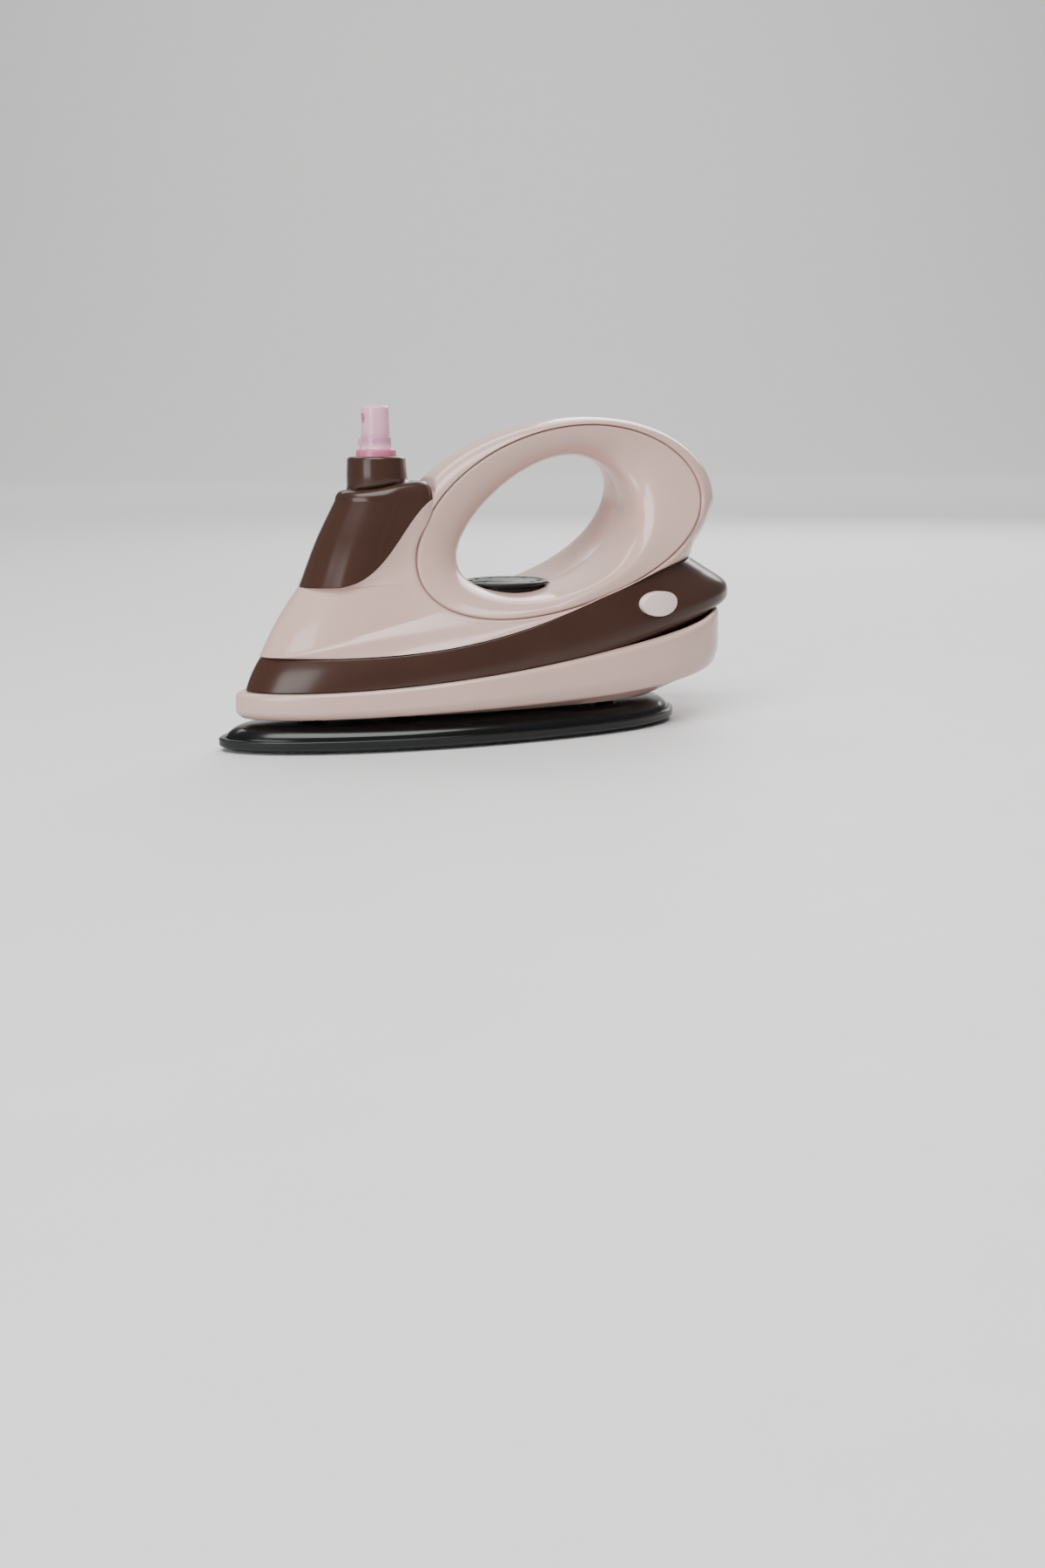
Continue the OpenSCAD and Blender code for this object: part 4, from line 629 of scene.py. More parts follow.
def plastic(name, colour, roughness, grain=0.02, mottle=0.04, coat=0.25, specular=0.5,
            stain=None, **extra):
    """Moulded plastic: a tone that drifts over a few centimetres, a skin of fine ripples from the
    mould, and gloss that varies a little, all from noise on Object coordinates. Where the mesh is
    marked, the tone turns to a second colour. On the housing that colour is painted shade along the
    groove round the handle. On the clear sprayer it is the mauve of the stem that shows through."""
    m, where = new_material(name, colour)
    drift = add_node(m, "TexNoise", Vector=where, Scale=28, Detail=3).outputs["Fac"]
    smear = add_node(m, "TexNoise", Vector=where, Scale=90, Detail=4).outputs["Fac"]
    ripple = add_node(m, "TexNoise", Vector=where, Scale=420, Detail=2).outputs["Fac"]
    c = np.array(colour)
    tone = tone_between(m, drift, c * (1 - mottle), c * (1 + mottle), (0.3, 0.7))
    gloss = add_node(m, "MapRange", Value=smear, To_Min=roughness * 0.8, To_Max=roughness * 1.25)
    bump = add_node(m, "Bump", Height=ripple, Strength=grain, Distance=0.0005)
    # Mixes the tone towards the marked colour by the mesh's mark: painted shade in the housing's
    # groove, the seen-through stem on the sprayer
    if stain is not None:
        mark = add_node(m, "Attribute")
        mark.attribute_name = "mark"
        shade_and_stem_mix = add_node(m, "Mix")
        shade_and_stem_mix.data_type = "RGBA"
        set_inputs(m, shade_and_stem_mix, Factor=mark.outputs["Fac"], A=tone, B=(*stain, 1))
        tone = shade_and_stem_mix.outputs["Result"]
    set_inputs(
        m, m.node_tree.nodes["Principled BSDF"], Base_Color=tone,
        Roughness=gloss.outputs["Result"], Normal=bump.outputs["Normal"], IOR=1.49,
        Specular_IOR_Level=specular, Coat_Weight=coat, Coat_Roughness=0.06, **extra,
    )
    return m


def metal(name, colour, roughness):
    """Plated steel: fine drawn lines along the piece vary its gloss and stand out slightly."""
    m, where = new_material(name, colour)
    drawn = add_node(m, "Mapping", Vector=where, Scale=(300, 1800, 1800)).outputs["Vector"]
    lines = add_node(m, "TexNoise", Vector=drawn, Scale=1, Detail=4).outputs["Fac"]
    c = np.array(colour)
    gloss = add_node(m, "MapRange", Value=lines, To_Min=roughness * 0.7, To_Max=roughness * 1.3)
    bump = add_node(m, "Bump", Height=lines, Strength=0.08, Distance=0.0002)
    set_inputs(
        m, m.node_tree.nodes["Principled BSDF"], Metallic=1,
        Base_Color=tone_between(m, lines, c * 0.82, c * 1.1, (0, 1)),
        Roughness=gloss.outputs["Result"], Normal=bump.outputs["Normal"],
    )
    return m


# Each finish: how it is made, its colour or the name of the setting that holds it, its roughness,
# and what else differs from the usual

FINISHES = {
    # The groove colour of pink_gloss is painted shade: darker pink drawn along the groove round the
    # handle
    "pink_gloss": (plastic, "housing", 0.2, dict(
        grain=0.012, mottle=0.025, coat=0.2, stain="groove", Subsurface_Weight=0.06,
        Subsurface_Scale=0.002)),
    "brown_gloss": (plastic, "band", 0.22, dict(mottle=0.12, coat=0.04, specular=0.32)),
    "black_gloss": (plastic, "sole", 0.18, dict(
        grain=0.015, mottle=0.15, coat=0.06, specular=0.34)),
    "dial_black": (plastic, "dial", 0.48, dict(grain=0.05, mottle=0.15, coat=0, specular=0.4)),
    "button_pale": (plastic, "button", 0.3, dict(mottle=0.03, coat=0.15)),
    "collar_pink": (plastic, "collar", 0.3, dict(
        grain=0.03, mottle=0.06, coat=0.15, Subsurface_Weight=0.25, Subsurface_Scale=0.002)),
    "sprayer_clear": (plastic, "sprayer", 0.22, dict(
        grain=0.03, coat=0.1, stain=(0.36, 0.1, 0.34), Transmission_Weight=0.35)),
    "stem_mauve": (plastic, (0.4, 0.14, 0.3), 0.4, dict(grain=0.03)),
    "inner_plastic": (plastic, (0.7, 0.68, 0.64), 0.45, dict(grain=0.05, coat=0)),
    "black_plastic": (plastic, (0.03, 0.03, 0.032), 0.45, dict(grain=0.06, mottle=0.15, coat=0)),
    "red_plastic": (plastic, (0.55, 0.03, 0.025), 0.4, dict(grain=0.05, mottle=0.08, coat=0)),
    "cell_wrap": (plastic, (0.12, 0.3, 0.14), 0.3, dict(grain=0.04, mottle=0.1, coat=0.2)),
    "grey_rubber": (plastic, (0.09, 0.09, 0.09), 0.75, dict(grain=0.2, mottle=0.1, coat=0)),
    "steel": (metal, (0.6, 0.6, 0.6), 0.28, {}),
}


def finish_of(name):
    """The finish of that name, made once. A word in place of a colour names one of the scene's
    settings."""
    key = "iron_" + name
    if key in bpy.data.materials:
        return bpy.data.materials[key]
    settings = bpy.context.scene.iron_colours

    def colour_of(value):
        return getattr(settings, value)[:] if isinstance(value, str) else value

    make, colour, roughness, rest = FINISHES[name]
    return make(key, colour_of(colour), roughness, **{k: colour_of(v) for k, v in rest.items()})


# Housing


def rim_columns(psi, x, z, h):
    """Columns whose outer end is (x, z, h): the wall's far side lies WALL nearer the ridge."""
    end = np.stack([x, z, h], axis=-1)
    d = oval(psi, **RIDGE) - end[:, :2]
    shift = WALL * np.sqrt(np.maximum(0, 1 - (h / WALL) ** 2)) / np.linalg.norm(d, axis=1)
    inner = np.concatenate(
        [end[:, :2] + d * shift[:, None], np.maximum(0, h - WALL)[:, None]], axis=1
    )
    return psi, end, mix(end, inner, 1 / 3), mix(end, inner, 2 / 3), inner


def lip_columns(b, psi):
    """Columns that end on the band: a face of the wall's thickness, then a lip that enters it."""
    u = along(collar_x(b))

    def point(inset, drop):
        """The band's upper edge, drawn in and lowered."""
        return np.stack([
            ring_x(b, COLLAR_NOSE + NOSE_INSET * inset, COLLAR_REAR - inset, SOLE_WIDE, BAND_TAIL),
            band_top(u) + SEAM_GAP - drop,
            np.maximum(0, -ring_w(b, COLLAR_W / 2 - inset, BAND_TAIL)),
        ], axis=-1)

    inset = WALL + FIT
    return psi, point(0, 0), point(inset, 0), point(inset, LIP_H), point(inset + LIP_T, LIP_H)


def housing_columns():
    """All columns of the left half, from the rear over the grip, down the tank's seam and the nose,
    and back along the band: angle round the ovals, outer end, two lip points and inner end."""
    groups = [lip_columns(np.array([180.0]), np.array([REAR_PSI]))]
    psi = np.linspace(REAR_PSI, FRONT_PSI, GRIP_COLUMNS)[1:]
    o = oval(psi, **HANDLE)
    groups.append(rim_columns(psi, o[:, 0], o[:, 1], 0 * psi))

    start = oval(np.float64(FRONT_PSI), **HANDLE)
    x0 = TANK_REAR + SEAM_GAP
    z0 = seam_height(x0) - SEAM_GAP
    knots = [FRONT_PSI, (FRONT_PSI + SEAM_PSI) / 2, SEAM_PSI]
    psi = np.linspace(FRONT_PSI, SEAM_PSI, 14)[1:-1]
    groups.append(rim_columns(
        psi,
        np.interp(psi, knots, [start[0], x0, x0]),
        np.interp(psi, knots, [start[1], (start[1] + TANK_Z + TANK_RISE) / 2, z0]),
        np.interp(psi, knots, [0, JOINT_HW, seam_half(x0, z0)]),
    ))

    v = np.linspace(0, 1, 90)
    w = v - 0.13 * np.sin(2 * math.pi * v)
    x = np.interp(w, [0, 1 / 8, 1], [x0, TANK_X + TANK_RUN * 7 / 8, TANK_X])
    z = seam_height(x) - SEAM_GAP
    groups.append(rim_columns(mix(SEAM_PSI, FOOT_PSI, w), x, z, seam_half(x, z)))

    t = np.linspace(0, 1, 26)[1:-1]
    bow = NOSE_BOW * t * (1 - t)
    groups.append(rim_columns(
        mix(FOOT_PSI, NOSE_PSI, t),
        mix(TANK_X, COLLAR_NOSE, t) - bow,
        mix(TANK_Z - SEAM_GAP, COLLAR_Z + SEAM_GAP, t) + bow,
        0 * t,
    ))

    b = np.linspace(0, 180, 180)[:-1]
    u = along(collar_x(b))
    fan = 1 - (1 - u) ** (2 / 3) + 0.45 * np.sqrt(u) * np.exp(-u / 0.15)
    groups.append(lip_columns(b, mix(NOSE_PSI, REAR_PSI + 360, fan)))
    return [np.concatenate([g[i] for g in groups]) for i in range(5)]


def crease(d, shape):
    """Height added to the wall d mm outside the ridge: a groove there and a soft bead beyond it,
    each a bell curve."""
    bead = shape.bead_h * np.exp(-(((d - BEAD_AT) / BEAD_W) ** 2))
    return bead - shape.groove_depth * np.exp(-((d / shape.groove_w) ** 2))


def relax(grid, weight, times):
    """Evens a grid of points: each goes by its weight towards the mean of its four neighbours, as
    often as times says. The first and last sample of every column stay."""
    grid, weight = grid.copy(), weight[:, 1:-1, None]
    for _ in range(times):
        mean = (np.roll(grid, 1, 0) + np.roll(grid, -1, 0))[:, 1:-1] + grid[:, :-2] + grid[:, 2:]
        grid[:, 1:-1] += weight * (mean / 4 - grid[:, 1:-1])
    return grid


def corner(at, a, b, r):
    """Three points that round the corner at, r mm back towards a and b."""
    da, db = a - at, b - at
    la, lb = np.linalg.norm(da, axis=1)[:, None], np.linalg.norm(db, axis=1)[:, None]
    r = np.minimum(r, 0.45 * np.minimum(la, lb))
    da, db = da / np.maximum(la, 1e-9), db / np.maximum(lb, 1e-9)
    return np.stack([at + r * da, at + 0.29 * r * (da + db), at + r * db], axis=1)


def housing_rings(shape):
    """The left half's wall: out along the funnel from the hole to the ridge, down the flank to the
    rim, over the lip and back inside. The funnel is a superellipse of share t, the flank the
    complement of a power of t."""
    psi, end, lip_a, lip_b, inner_end = housing_columns()
    hole, ridge = oval(psi, **SEEN_HOLE), oval(psi, **RIDGE)
    hw, n = ridge_hw(psi)[:, None], funnel_power(psi)[:, None]
    span = np.linalg.norm(ridge - hole, axis=1)[:, None]
    fall = np.linalg.norm(end[:, :2] - ridge, axis=1)[:, None]

    def funnel(t, inset):
        """Points at shares t of the way from the hole to the ridge, inset mm inside the skin."""
        foot = hole + inset * (ridge - hole) / span
        p = foot[:, None] + (ridge - foot)[:, None] * t[..., None]
        y = (hw - inset) * np.maximum(0, 1 - (1 - t) ** n) ** (1 / n)
        return np.concatenate([p, y[..., None]], axis=-1)

    def flank(t, stop, inset):
        """Points at shares t of the way from the ridge to stop, inset mm inside the skin."""
        h = stop[:, 2:3]
        f = end_share(h)
        power = flank_power(psi)[:, None]
        p = ridge[:, None] + (stop[:, None, :2] - ridge[:, None]) * t[..., None]
        y = h + (hw - inset - h) * np.maximum(0, 1 - t ** mix(power, 2, f)) ** mix(1 / power, 1, f)
        return np.concatenate([p, y[..., None]], axis=-1)

    near = np.array([3.4, 2.6, 2.0, 1.5, 1.1, 0.8, 0.55, 0.35, 0.15, 0.0])
    t_end = 1 - near[0] / span
    t = np.concatenate([
        t_end * (1 - np.cos(np.linspace(0.04, math.pi / 2, 26)[None, :-1])), 1 - near / span
    ], axis=1)
    front = funnel(t, 0)
    front[..., 2] += crease(-(1 - t) * span, shape)
    # Painted shade along the groove's middle: a bell curve of the distance from the ridge
    front_shade = np.exp(-(((1 - t) * span / MARK_W) ** 2))

    reach = near[-2::-1] * np.minimum(1, 0.4 * fall / near[0])
    t0 = reach[:, -1:] / fall
    v = np.linspace(0, 1, 34)[None, 1:-1]
    f = end_share(end[:, 2:3])
    t = np.concatenate([reach / fall, t0 + (1 - t0) * mix(np.sin(v * math.pi / 2), v, f)], axis=1)
    side = flank(t, end, 0)
    columns, samples = np.arange(len(psi))[:, None], np.arange(side.shape[1])[None]
    from_rear = np.minimum(columns, len(psi) - columns)
    weight = np.clip((EVEN_COLUMNS - from_rear) / EVEN_COLUMNS_FADE, 0, 1)
    side = relax(side, weight * np.clip((samples - EVEN_FROM) / EVEN_FADE, 0, 1), EVEN_TIMES)
    fade = np.clip((1 - t) * 3, 0, 1)
    side[..., 2] += crease(t * fall, shape) * fade
    # Painted shade along the groove continues over the flank, fading where the groove fades
    side_shade = np.exp(-((t * fall / MARK_W) ** 2)) * fade

    foot = np.concatenate([hole, 0 * hole[:, :1]], axis=1)
    back = np.concatenate([hole + (ridge - hole) / span, 0 * hole[:, :1]], axis=1)
    parted = (np.arange(len(psi)) <= GRIP_COLUMNS) | (np.abs(end[:, 2]) < 1e-6)
    start = corner(foot, back, front[:, 0], shape.parting)
    rim = corner(end, side[:, -1], lip_a, np.where(parted, shape.parting, shape.edge_round)[:, None])
    inside = flank(
        np.sin(np.linspace(math.pi / 2, 0.15, 8))[None] + 0 * span, inner_end, WALL)
    within = funnel((1 - np.cos(np.linspace(math.pi / 2, 0, 9)))[None] + 0 * span, WALL)
    points = np.concatenate(
        [start, front, side, rim, lip_a[:, None], lip_b[:, None], inside, within], axis=1
    )
    # The marks carry the groove's painted shade to the pink material
    marks = np.zeros(points.shape[:2])
    marked = np.concatenate([front_shade, side_shade], axis=1)
    marks[:, start.shape[1]:start.shape[1] + marked.shape[1]] = marked
    return points, marks


def case_points():
    """Middles of the screws that hold the halves together, with the height of their bosses: a
    share of the way over the funnel, whose height is a superellipse of what is left."""
    psi = np.array(BOSS_PSI)
    ridge, hole = oval(psi, **RIDGE), oval(psi, **HOLE)
    wall = hole + WALL * (ridge - hole) / np.linalg.norm(ridge - hole, axis=1)[:, None]
    n = funnel_power(psi)
    h = (ridge_hw(psi) - WALL) * (1 - (1 - BOSS_PLACE_SHARE) ** n) ** (1 / n)
    return np.concatenate([mix(wall, ridge, BOSS_PLACE_SHARE), h[:, None]], axis=1)


def dial_cutter():
    """What the deck leaves free for the dial: the hub's well, wider where the flange turns."""
    well = [(0, HUB_WELL_Z), (HUB_WELL_R, HUB_WELL_Z), (HUB_WELL_R, FLANGE_WELL_Z),
            (FLANGE_WELL_R, FLANGE_WELL_Z), (FLANGE_WELL_R, WELL_TOP), (0, WELL_TOP)]
    return loft(revolve(well, 128, (DIAL_X, 0)))


# Settings


class IronColours(bpy.types.PropertyGroup):
    """Colours of the plastics."""

    housing: bpy.props.FloatVectorProperty(
        name="Housing", description="Dusty pink of the housing and the pan",
        subtype="COLOR", min=0, max=1, default=(0.56, 0.376, 0.328))
    # Painted shade: the darker pink drawn along the groove round the handle, where the groove lies in
    # shade
    groove: bpy.props.FloatVectorProperty(
        name="Groove", description="Darker pink in the groove round the handle",
        subtype="COLOR", min=0, max=1, default=(0.2, 0.1, 0.085))
    band: bpy.props.FloatVectorProperty(
        name="Band and tank", description="Chocolate brown of the band and the water tank",
        subtype="COLOR", min=0, max=1, default=(0.043, 0.0195, 0.0135))
    sole: bpy.props.FloatVectorProperty(
        name="Sole", description="Black of the sole", subtype="COLOR", min=0, max=1,
        default=(0.0028, 0.0036, 0.004))
    dial: bpy.props.FloatVectorProperty(
        name="Dial", description="Black of the dial", subtype="COLOR", min=0, max=1,
        default=(0.003, 0.0034, 0.0032))
    button: bpy.props.FloatVectorProperty(
        name="Buttons", description="Pale pink of the side buttons", subtype="COLOR", min=0, max=1,
        default=(0.78, 0.63, 0.59))
    collar: bpy.props.FloatVectorProperty(
        name="Sprayer ring", description="Deeper pink of the ring under the sprayer",
        subtype="COLOR", min=0, max=1, default=(0.55, 0.14, 0.25))
    sprayer: bpy.props.FloatVectorProperty(
        name="Sprayer", description="Pale pink of the clear sprayer", subtype="COLOR",
        min=0, max=1, default=(1.0, 0.53, 0.68))


class IronShape(bpy.types.PropertyGroup):
    """Fine shapes of the mouldings, in millimetres."""

    groove_depth: bpy.props.FloatProperty(
        name="Groove depth", description="Depth in mm of the groove round the handle",
        default=0.6, min=0, max=1.2)
    groove_w: bpy.props.FloatProperty(
        name="Groove width", description="Half width in mm of the groove round the handle",
        default=0.6, min=0.2, max=2)
    bead_h: bpy.props.FloatProperty(
        name="Bead height", description="Height in mm of the soft bead outside the groove",
        default=0.15, min=0, max=0.6)
    parting: bpy.props.FloatProperty(
        name="Parting line", description="Depth in mm of the line where the halves meet",
        default=0.12, min=0.02, max=0.4)
    edge_round: bpy.props.FloatProperty(
        name="Edge round", description="Radius in mm of the edges along the seams",
        default=0.35, min=0.05, max=1)
    flute_depth: bpy.props.FloatProperty(
        name="Flute depth", description="Depth in mm of the shallow flutes on the tank's nose",
        default=0.18, min=0, max=1)


class IronStage(bpy.types.PropertyGroup):
    """Floor and lights."""

    floor: bpy.props.FloatVectorProperty(
        name="Floor", description="Colour of the floor", subtype="COLOR", min=0, max=1,
        default=(0.7, 0.695, 0.69))
    light: bpy.props.FloatProperty(
        name="Light", description="Power in watts of the large light overhead",
        default=15.0, min=0, subtype="POWER")


# Operators, each after the forms that only it needs


class IRON_OT_housing(bpy.types.Operator):
    """Two halves of the housing with the handle, the groove round it and the parting line"""

    bl_idname = "iron.housing"
    bl_label = "Housing"

    def execute(self, context):
        rings, marks = housing_rings(context.scene.iron_shape)
        bosses = case_points()
        heads = [side_bar(s, z, HEAD_REST, OUTSIDE, SCREW_HEAD_D) for s, z, h in bosses]
        for side, name in ((-1, "housing_left"), (1, "housing_right")):
            wall = loft(metres(rings[..., 0], side * rings[..., 2], rings[..., 1]), wrap=True)
            made = piece(name + "_shell", [wall], finish_of("pink_gloss"), "root", (name,),
                         marks=marks)
            cut(made, [dial_cutter()] + (heads if side > 0 else []))
        shafts = [side_bar(s, z, BOSS_START, h - BOSS_SHORT, BOSS_D) for s, z, h in bosses]
        sleeves = piece("screw_sleeves", shafts, finish_of("pink_gloss"), "root")
        cut(sleeves, heads + [side_bar(s, z, -OVERRUN, SHANK_END, SCREW_HOLE_D)
                              for s, z, h in bosses])
        return {"FINISHED"}


def band_ring(share, tail, inset, drop, b):
    """Rings of the band: shares of its height, how far the tail runs out, inset and drop."""
    share, tail, inset, drop = (np.asarray(v, float)[:, None] for v in (share, tail, inset, drop))
    b = b[None]
    u = along(collar_x(b))
    bulge = BAND_BULGE * share * (1 - share)
    nose = mix(BAND_NOSE, COLLAR_NOSE, share) - bulge
    beak = OVERALL_L - mix(BAND_REAR, COLLAR_REAR, BEAK_SHARE)
    rear = mix(BAND_REAR, COLLAR_REAR, share) + tail * beak
    e = mix(BAND_TAIL, BEAK_TAIL, tail)
    hw = mix(BAND_HW, COLLAR_W / 2, share) + bulge
    return metres(
        ring_x(b, nose + NOSE_INSET * inset, rear - inset, SOLE_WIDE, e),
        ring_w(b, hw - inset, e),
        mix(band_bottom(u), band_top(u), share) - drop,
    )


def button_place(u, v, w):
    """Points of the left button's own frame, w outwards, in the part's mm (s, y, z)."""
    s, y, z = BUTTON_MID
    return (
        s + u * cosd(BUTTON_TURN) + w * sind(BUTTON_TURN),
        y + u * sind(BUTTON_TURN) - w * cosd(BUTTON_TURN),
        z + v,
    )


class IRON_OT_band(bpy.types.Operator):
    """Brown band with its beaked tail, rounded edges and the two button openings"""

    bl_idname = "iron.band"
    bl_label = "Band"

    def execute(self, context):
        b = turns(320)
        r = context.scene.iron_shape.edge_round
        share = np.concatenate([[0, 0.006, 0.02], np.linspace(0.035, 0.965, 44), [0.98, 0.994, 1]])
        tail = spline(share, [0, 0.12, 0.24, 0.38, 0.47, 0.56, 0.8, 1],
                      [0, 0.5, 0.86, 0.985, 1, 0.93, 0.43, 0])
        inset = np.zeros(len(share))
        inset[[0, -1]] = r
        inset[[1, -2]] = 0.3 * r
        inner = np.array([0.81, 0.56, 0.45, 0.21])
        inner_tail = spline(inner, [0, 0.21, 0.45, 0.56, 0.81, 1], [0, 0.83, 1, 0.94, 0.4, 0])
        lip = WALL + FIT
        foot = ([lip + LIP_T, lip + LIP_T, lip, lip], [0, LIP_H, LIP_H, 0])
        rings = np.concatenate([
            band_ring(share, tail, inset, 0 * share, b),
            band_ring([1], [0], [WALL], [0], b),
            band_ring(inner, inner_tail, [WALL] * 4, [0] * 4, b),
            band_ring([0] * 4, [0] * 4, *foot, b),
        ])
        made = piece("band_shell", [loft(rings, wrap=True)], finish_of("brown_gloss"), "root",
                     ("mid_band",))
        a = turns(72)
        s, y, z = button_place((BUTTON_A + BUTTON_FIT) * cosd(a), (BUTTON_B + BUTTON_FIT) * sind(a),
                               np.array([[BUTTON_CUT_IN], [BUTTON_CUT_OUT]]))
        cut(made, [loft(metres(s, side * y, z)) for side in (1, -1)])
        return {"FINISHED"}


def window_outline(gap):
    """Plan of the battery box and its screw boss, gap mm larger all round."""
    x0, x1, hw, r = BOX_START - gap, BOX_START + BOX_L + gap, BOX_HW + gap, BOX_BOSS_R + gap
    a = np.linspace(-90, 90, 13)
    boss = np.stack([BOX_BOSS_X + r * cosd(a), r * sind(a)], axis=-1)
    return np.concatenate([
        [[x0, -hw], [x1, -hw], [x1, -r]], boss, [[x1, r], [x1, hw], [x0, hw]]
    ])


def skirt_rings(inset, share, b):
    """Rings of the pan's skirt, drawn in by inset mm, at a share of its height: evenly up to the
    shoulder, then PAN_SHOULDER mm for each whole share, up to the band. The outer skin is lifted
    behind by a cube of the cosine."""
    inset, share = np.asarray(inset)[:, None], np.asarray(share)[:, None]
    x = ring_x(b, PAN_NOSE + NOSE_INSET * inset, PAN_REAR - inset, PAN_WIDE, SKIRT_TAIL)
    top_x = ring_x(b, PAN_TOP_NOSE, PAN_TOP_REAR, PAN_WIDE, SKIRT_TAIL)
    beside = ring_b(top_x, BAND_NOSE, BAND_REAR, SOLE_WIDE, BAND_TAIL)
    low, high = skirt_bottom(x), band_bottom(along(collar_x(beside))) - SEAM_GAP
    straight = high - (1 - SHOULDER_SHARE) * PAN_SHOULDER - low
    z = np.where(share > SHOULDER_SHARE, high - (1 - share) * PAN_SHOULDER,
                 low + share * straight / SHOULDER_SHARE)
    lift = REAR_LIFT * np.maximum(0, -cosd(b)) ** 3
    lift = lift * np.clip((share - SHOULDER_SHARE) / REAR_LIFT_SHARE, 0, 1)
    outside = inset < WALL
    return metres(x, ring_w(b, PAN_HW - inset, SKIRT_TAIL), z + lift * outside)


def floor_ring(z, b):
    """One ring of the pan's floor at height z."""
    x = ring_x(b, FLOOR_NOSE, FLOOR_REAR, PAN_WIDE, SKIRT_TAIL)
    return metres(x, ring_w(b, FLOOR_HW, SKIRT_TAIL), z)


class IRON_OT_pan(bpy.types.Operator):
    """Pink pan: the skirt with its soft shoulder, the floor and the sleeves the sole slides in"""

    bl_idname = "iron.pan"
    bl_label = "Pan"

    def execute(self, context):
        b = turns(320)[None]
        out = curve_of([(1, 0), (0.42, 0.03), (0.13, 0.15), (0, 0.35), (0, 0.6), (0.03, 0.84),
                        (0.11, 0.94), (0.22, 0.985), (0.35, 1)], 60)
        back = np.array([(0.35, 1), (0.05, 0.82), (0, 0.5), (0.25, 0.2)])
        rings = np.concatenate([
            floor_ring(FLOOR_Z, b), skirt_rings(out[:, 0] * PAN_ROUND, out[:, 1], b),
            skirt_rings(back[:, 0] * PAN_ROUND + WALL, back[:, 1], b), floor_ring(FLOOR_TOP, b),
        ])
        made = piece("pan_shell", [loft(rings)], finish_of("pink_gloss"), "root", ("base_pan",))
        tools = [prism(window_outline(FIT), PAN_CUT_Z, PAN_CUT_TOP),
                 round_bar(*PLUNGER, PAN_CUT_Z, PAN_CUT_TOP, PLUNGER_HOLE_D, 48)]
        over = SLEEVE_TOP + 2 * OVERRUN
        cut(made, tools + guide_bars(PAN_CUT_Z, over, SPRING_WELL_D, 64))
        sleeves = piece("guide_sleeves", guide_bars(SLEEVE_Z, SLEEVE_TOP, SLEEVE_D, 64),
                        finish_of("pink_gloss"), "root")
        cut(sleeves, guide_bars(PAN_CUT_Z, SPRING_WELL_TOP, SPRING_WELL_D, 64)
            + guide_bars(SPRING_WELL_TOP - OVERRUN, over, POST_D + 2 * RUN_FIT, 64))
        return {"FINISHED"}


def sole_rings(inset, z, b):
    """Rings of the sole, drawn in by inset mm at height z."""
    inset, z = np.asarray(inset, float)[:, None], np.asarray(z, float)[:, None]
    x = ring_x(b[None], NOSE_INSET * inset, SOLE_REAR - inset, SOLE_WIDE, SOLE_TAIL)
    return metres(x, ring_w(b[None], SOLE_HW - inset, SOLE_TAIL), z + 0 * x)


class IRON_OT_sole(bpy.types.Operator):
    """Black sole: the plate with its thin rim, and the cover with its shoulder and posts"""

    bl_idname = "iron.sole"
    bl_label = "Sole"

    def execute(self, context):
        b = turns(320)
        rim = curve_of([(1, 0), (0.55, 0.11), (0.2, 0.26), (0.05, 0.4), (0, 0.52), (0, 0.72),
                        (0, 0.9), (0.03, 0.97), (0.08, 1)], 48)
        ledge = COVER_INSET - FIT
        plate = np.concatenate([
            sole_rings(rim[:, 0] * PLATE_ROUND, rim[:, 1] * PLATE_H, b),
            sole_rings([ledge, ledge], [PLATE_H, PLATE_T], b),
        ])
        made = piece("plate_shell", [loft(plate)], finish_of("black_gloss"), "sole",
                     ("sole_plate",))
        window = window_outline(BOX_CLEARANCE)
        over = PLATE_T + 2 * OVERRUN
        cut(made, [prism(window, -OVERRUN, over)] + guide_bars(-OVERRUN, over, SCREW_HOLE_D)
            + guide_bars(-OVERRUN, PLATE_HEAD_TOP, SCREW_HEAD_D, 48))

        rise = COVER_TOP - COVER_Z
        within = COVER_INSET + COVER_WALL
        into = np.array([(0.72, 1), (0.36, 0.8), (0.1, 0.35), (0, 0)])
        out = curve_of([(0, 0), (0.1, 0.33), (0.35, 0.72), (0.7, 0.92), (1, 1)], 40)
        cover = np.concatenate([
            sole_rings(within + into[:, 0] * COVER_ROUND,
                       COVER_Z + into[:, 1] * (rise - COVER_WALL), b),
            sole_rings([within, COVER_INSET], [PLATE_T, PLATE_T], b),
            sole_rings(COVER_INSET + out[:, 0] * COVER_ROUND, COVER_Z + out[:, 1] * rise, b),
        ])
        made = piece("cover_shell", [loft(cover)], finish_of("black_gloss"), "sole",
                     ("sole_cover",))
        under, over = PLATE_T - OVERRUN, COVER_TOP + OVERRUN
        cut(made, [prism(window, -OVERRUN, over)] + guide_bars(under, over, SCREW_HOLE_D))
        posts = guide_bars(POST_Z, POST_TOP, POST_D, 48)
        posts.append(round_bar(*PLUNGER, PLUNGER_Z, PLUNGER_TOP, PLUNGER_D, 48))
        made = piece("sole_posts", posts, finish_of("black_gloss"), "sole")
        cut(made, guide_bars(under, POST_PILOT_TOP, PILOT_D)
            + guide_bars(POST_PILOT_Z, SLEEVE_TOP + OVERRUN, PILOT_D))
        return {"FINISHED"}


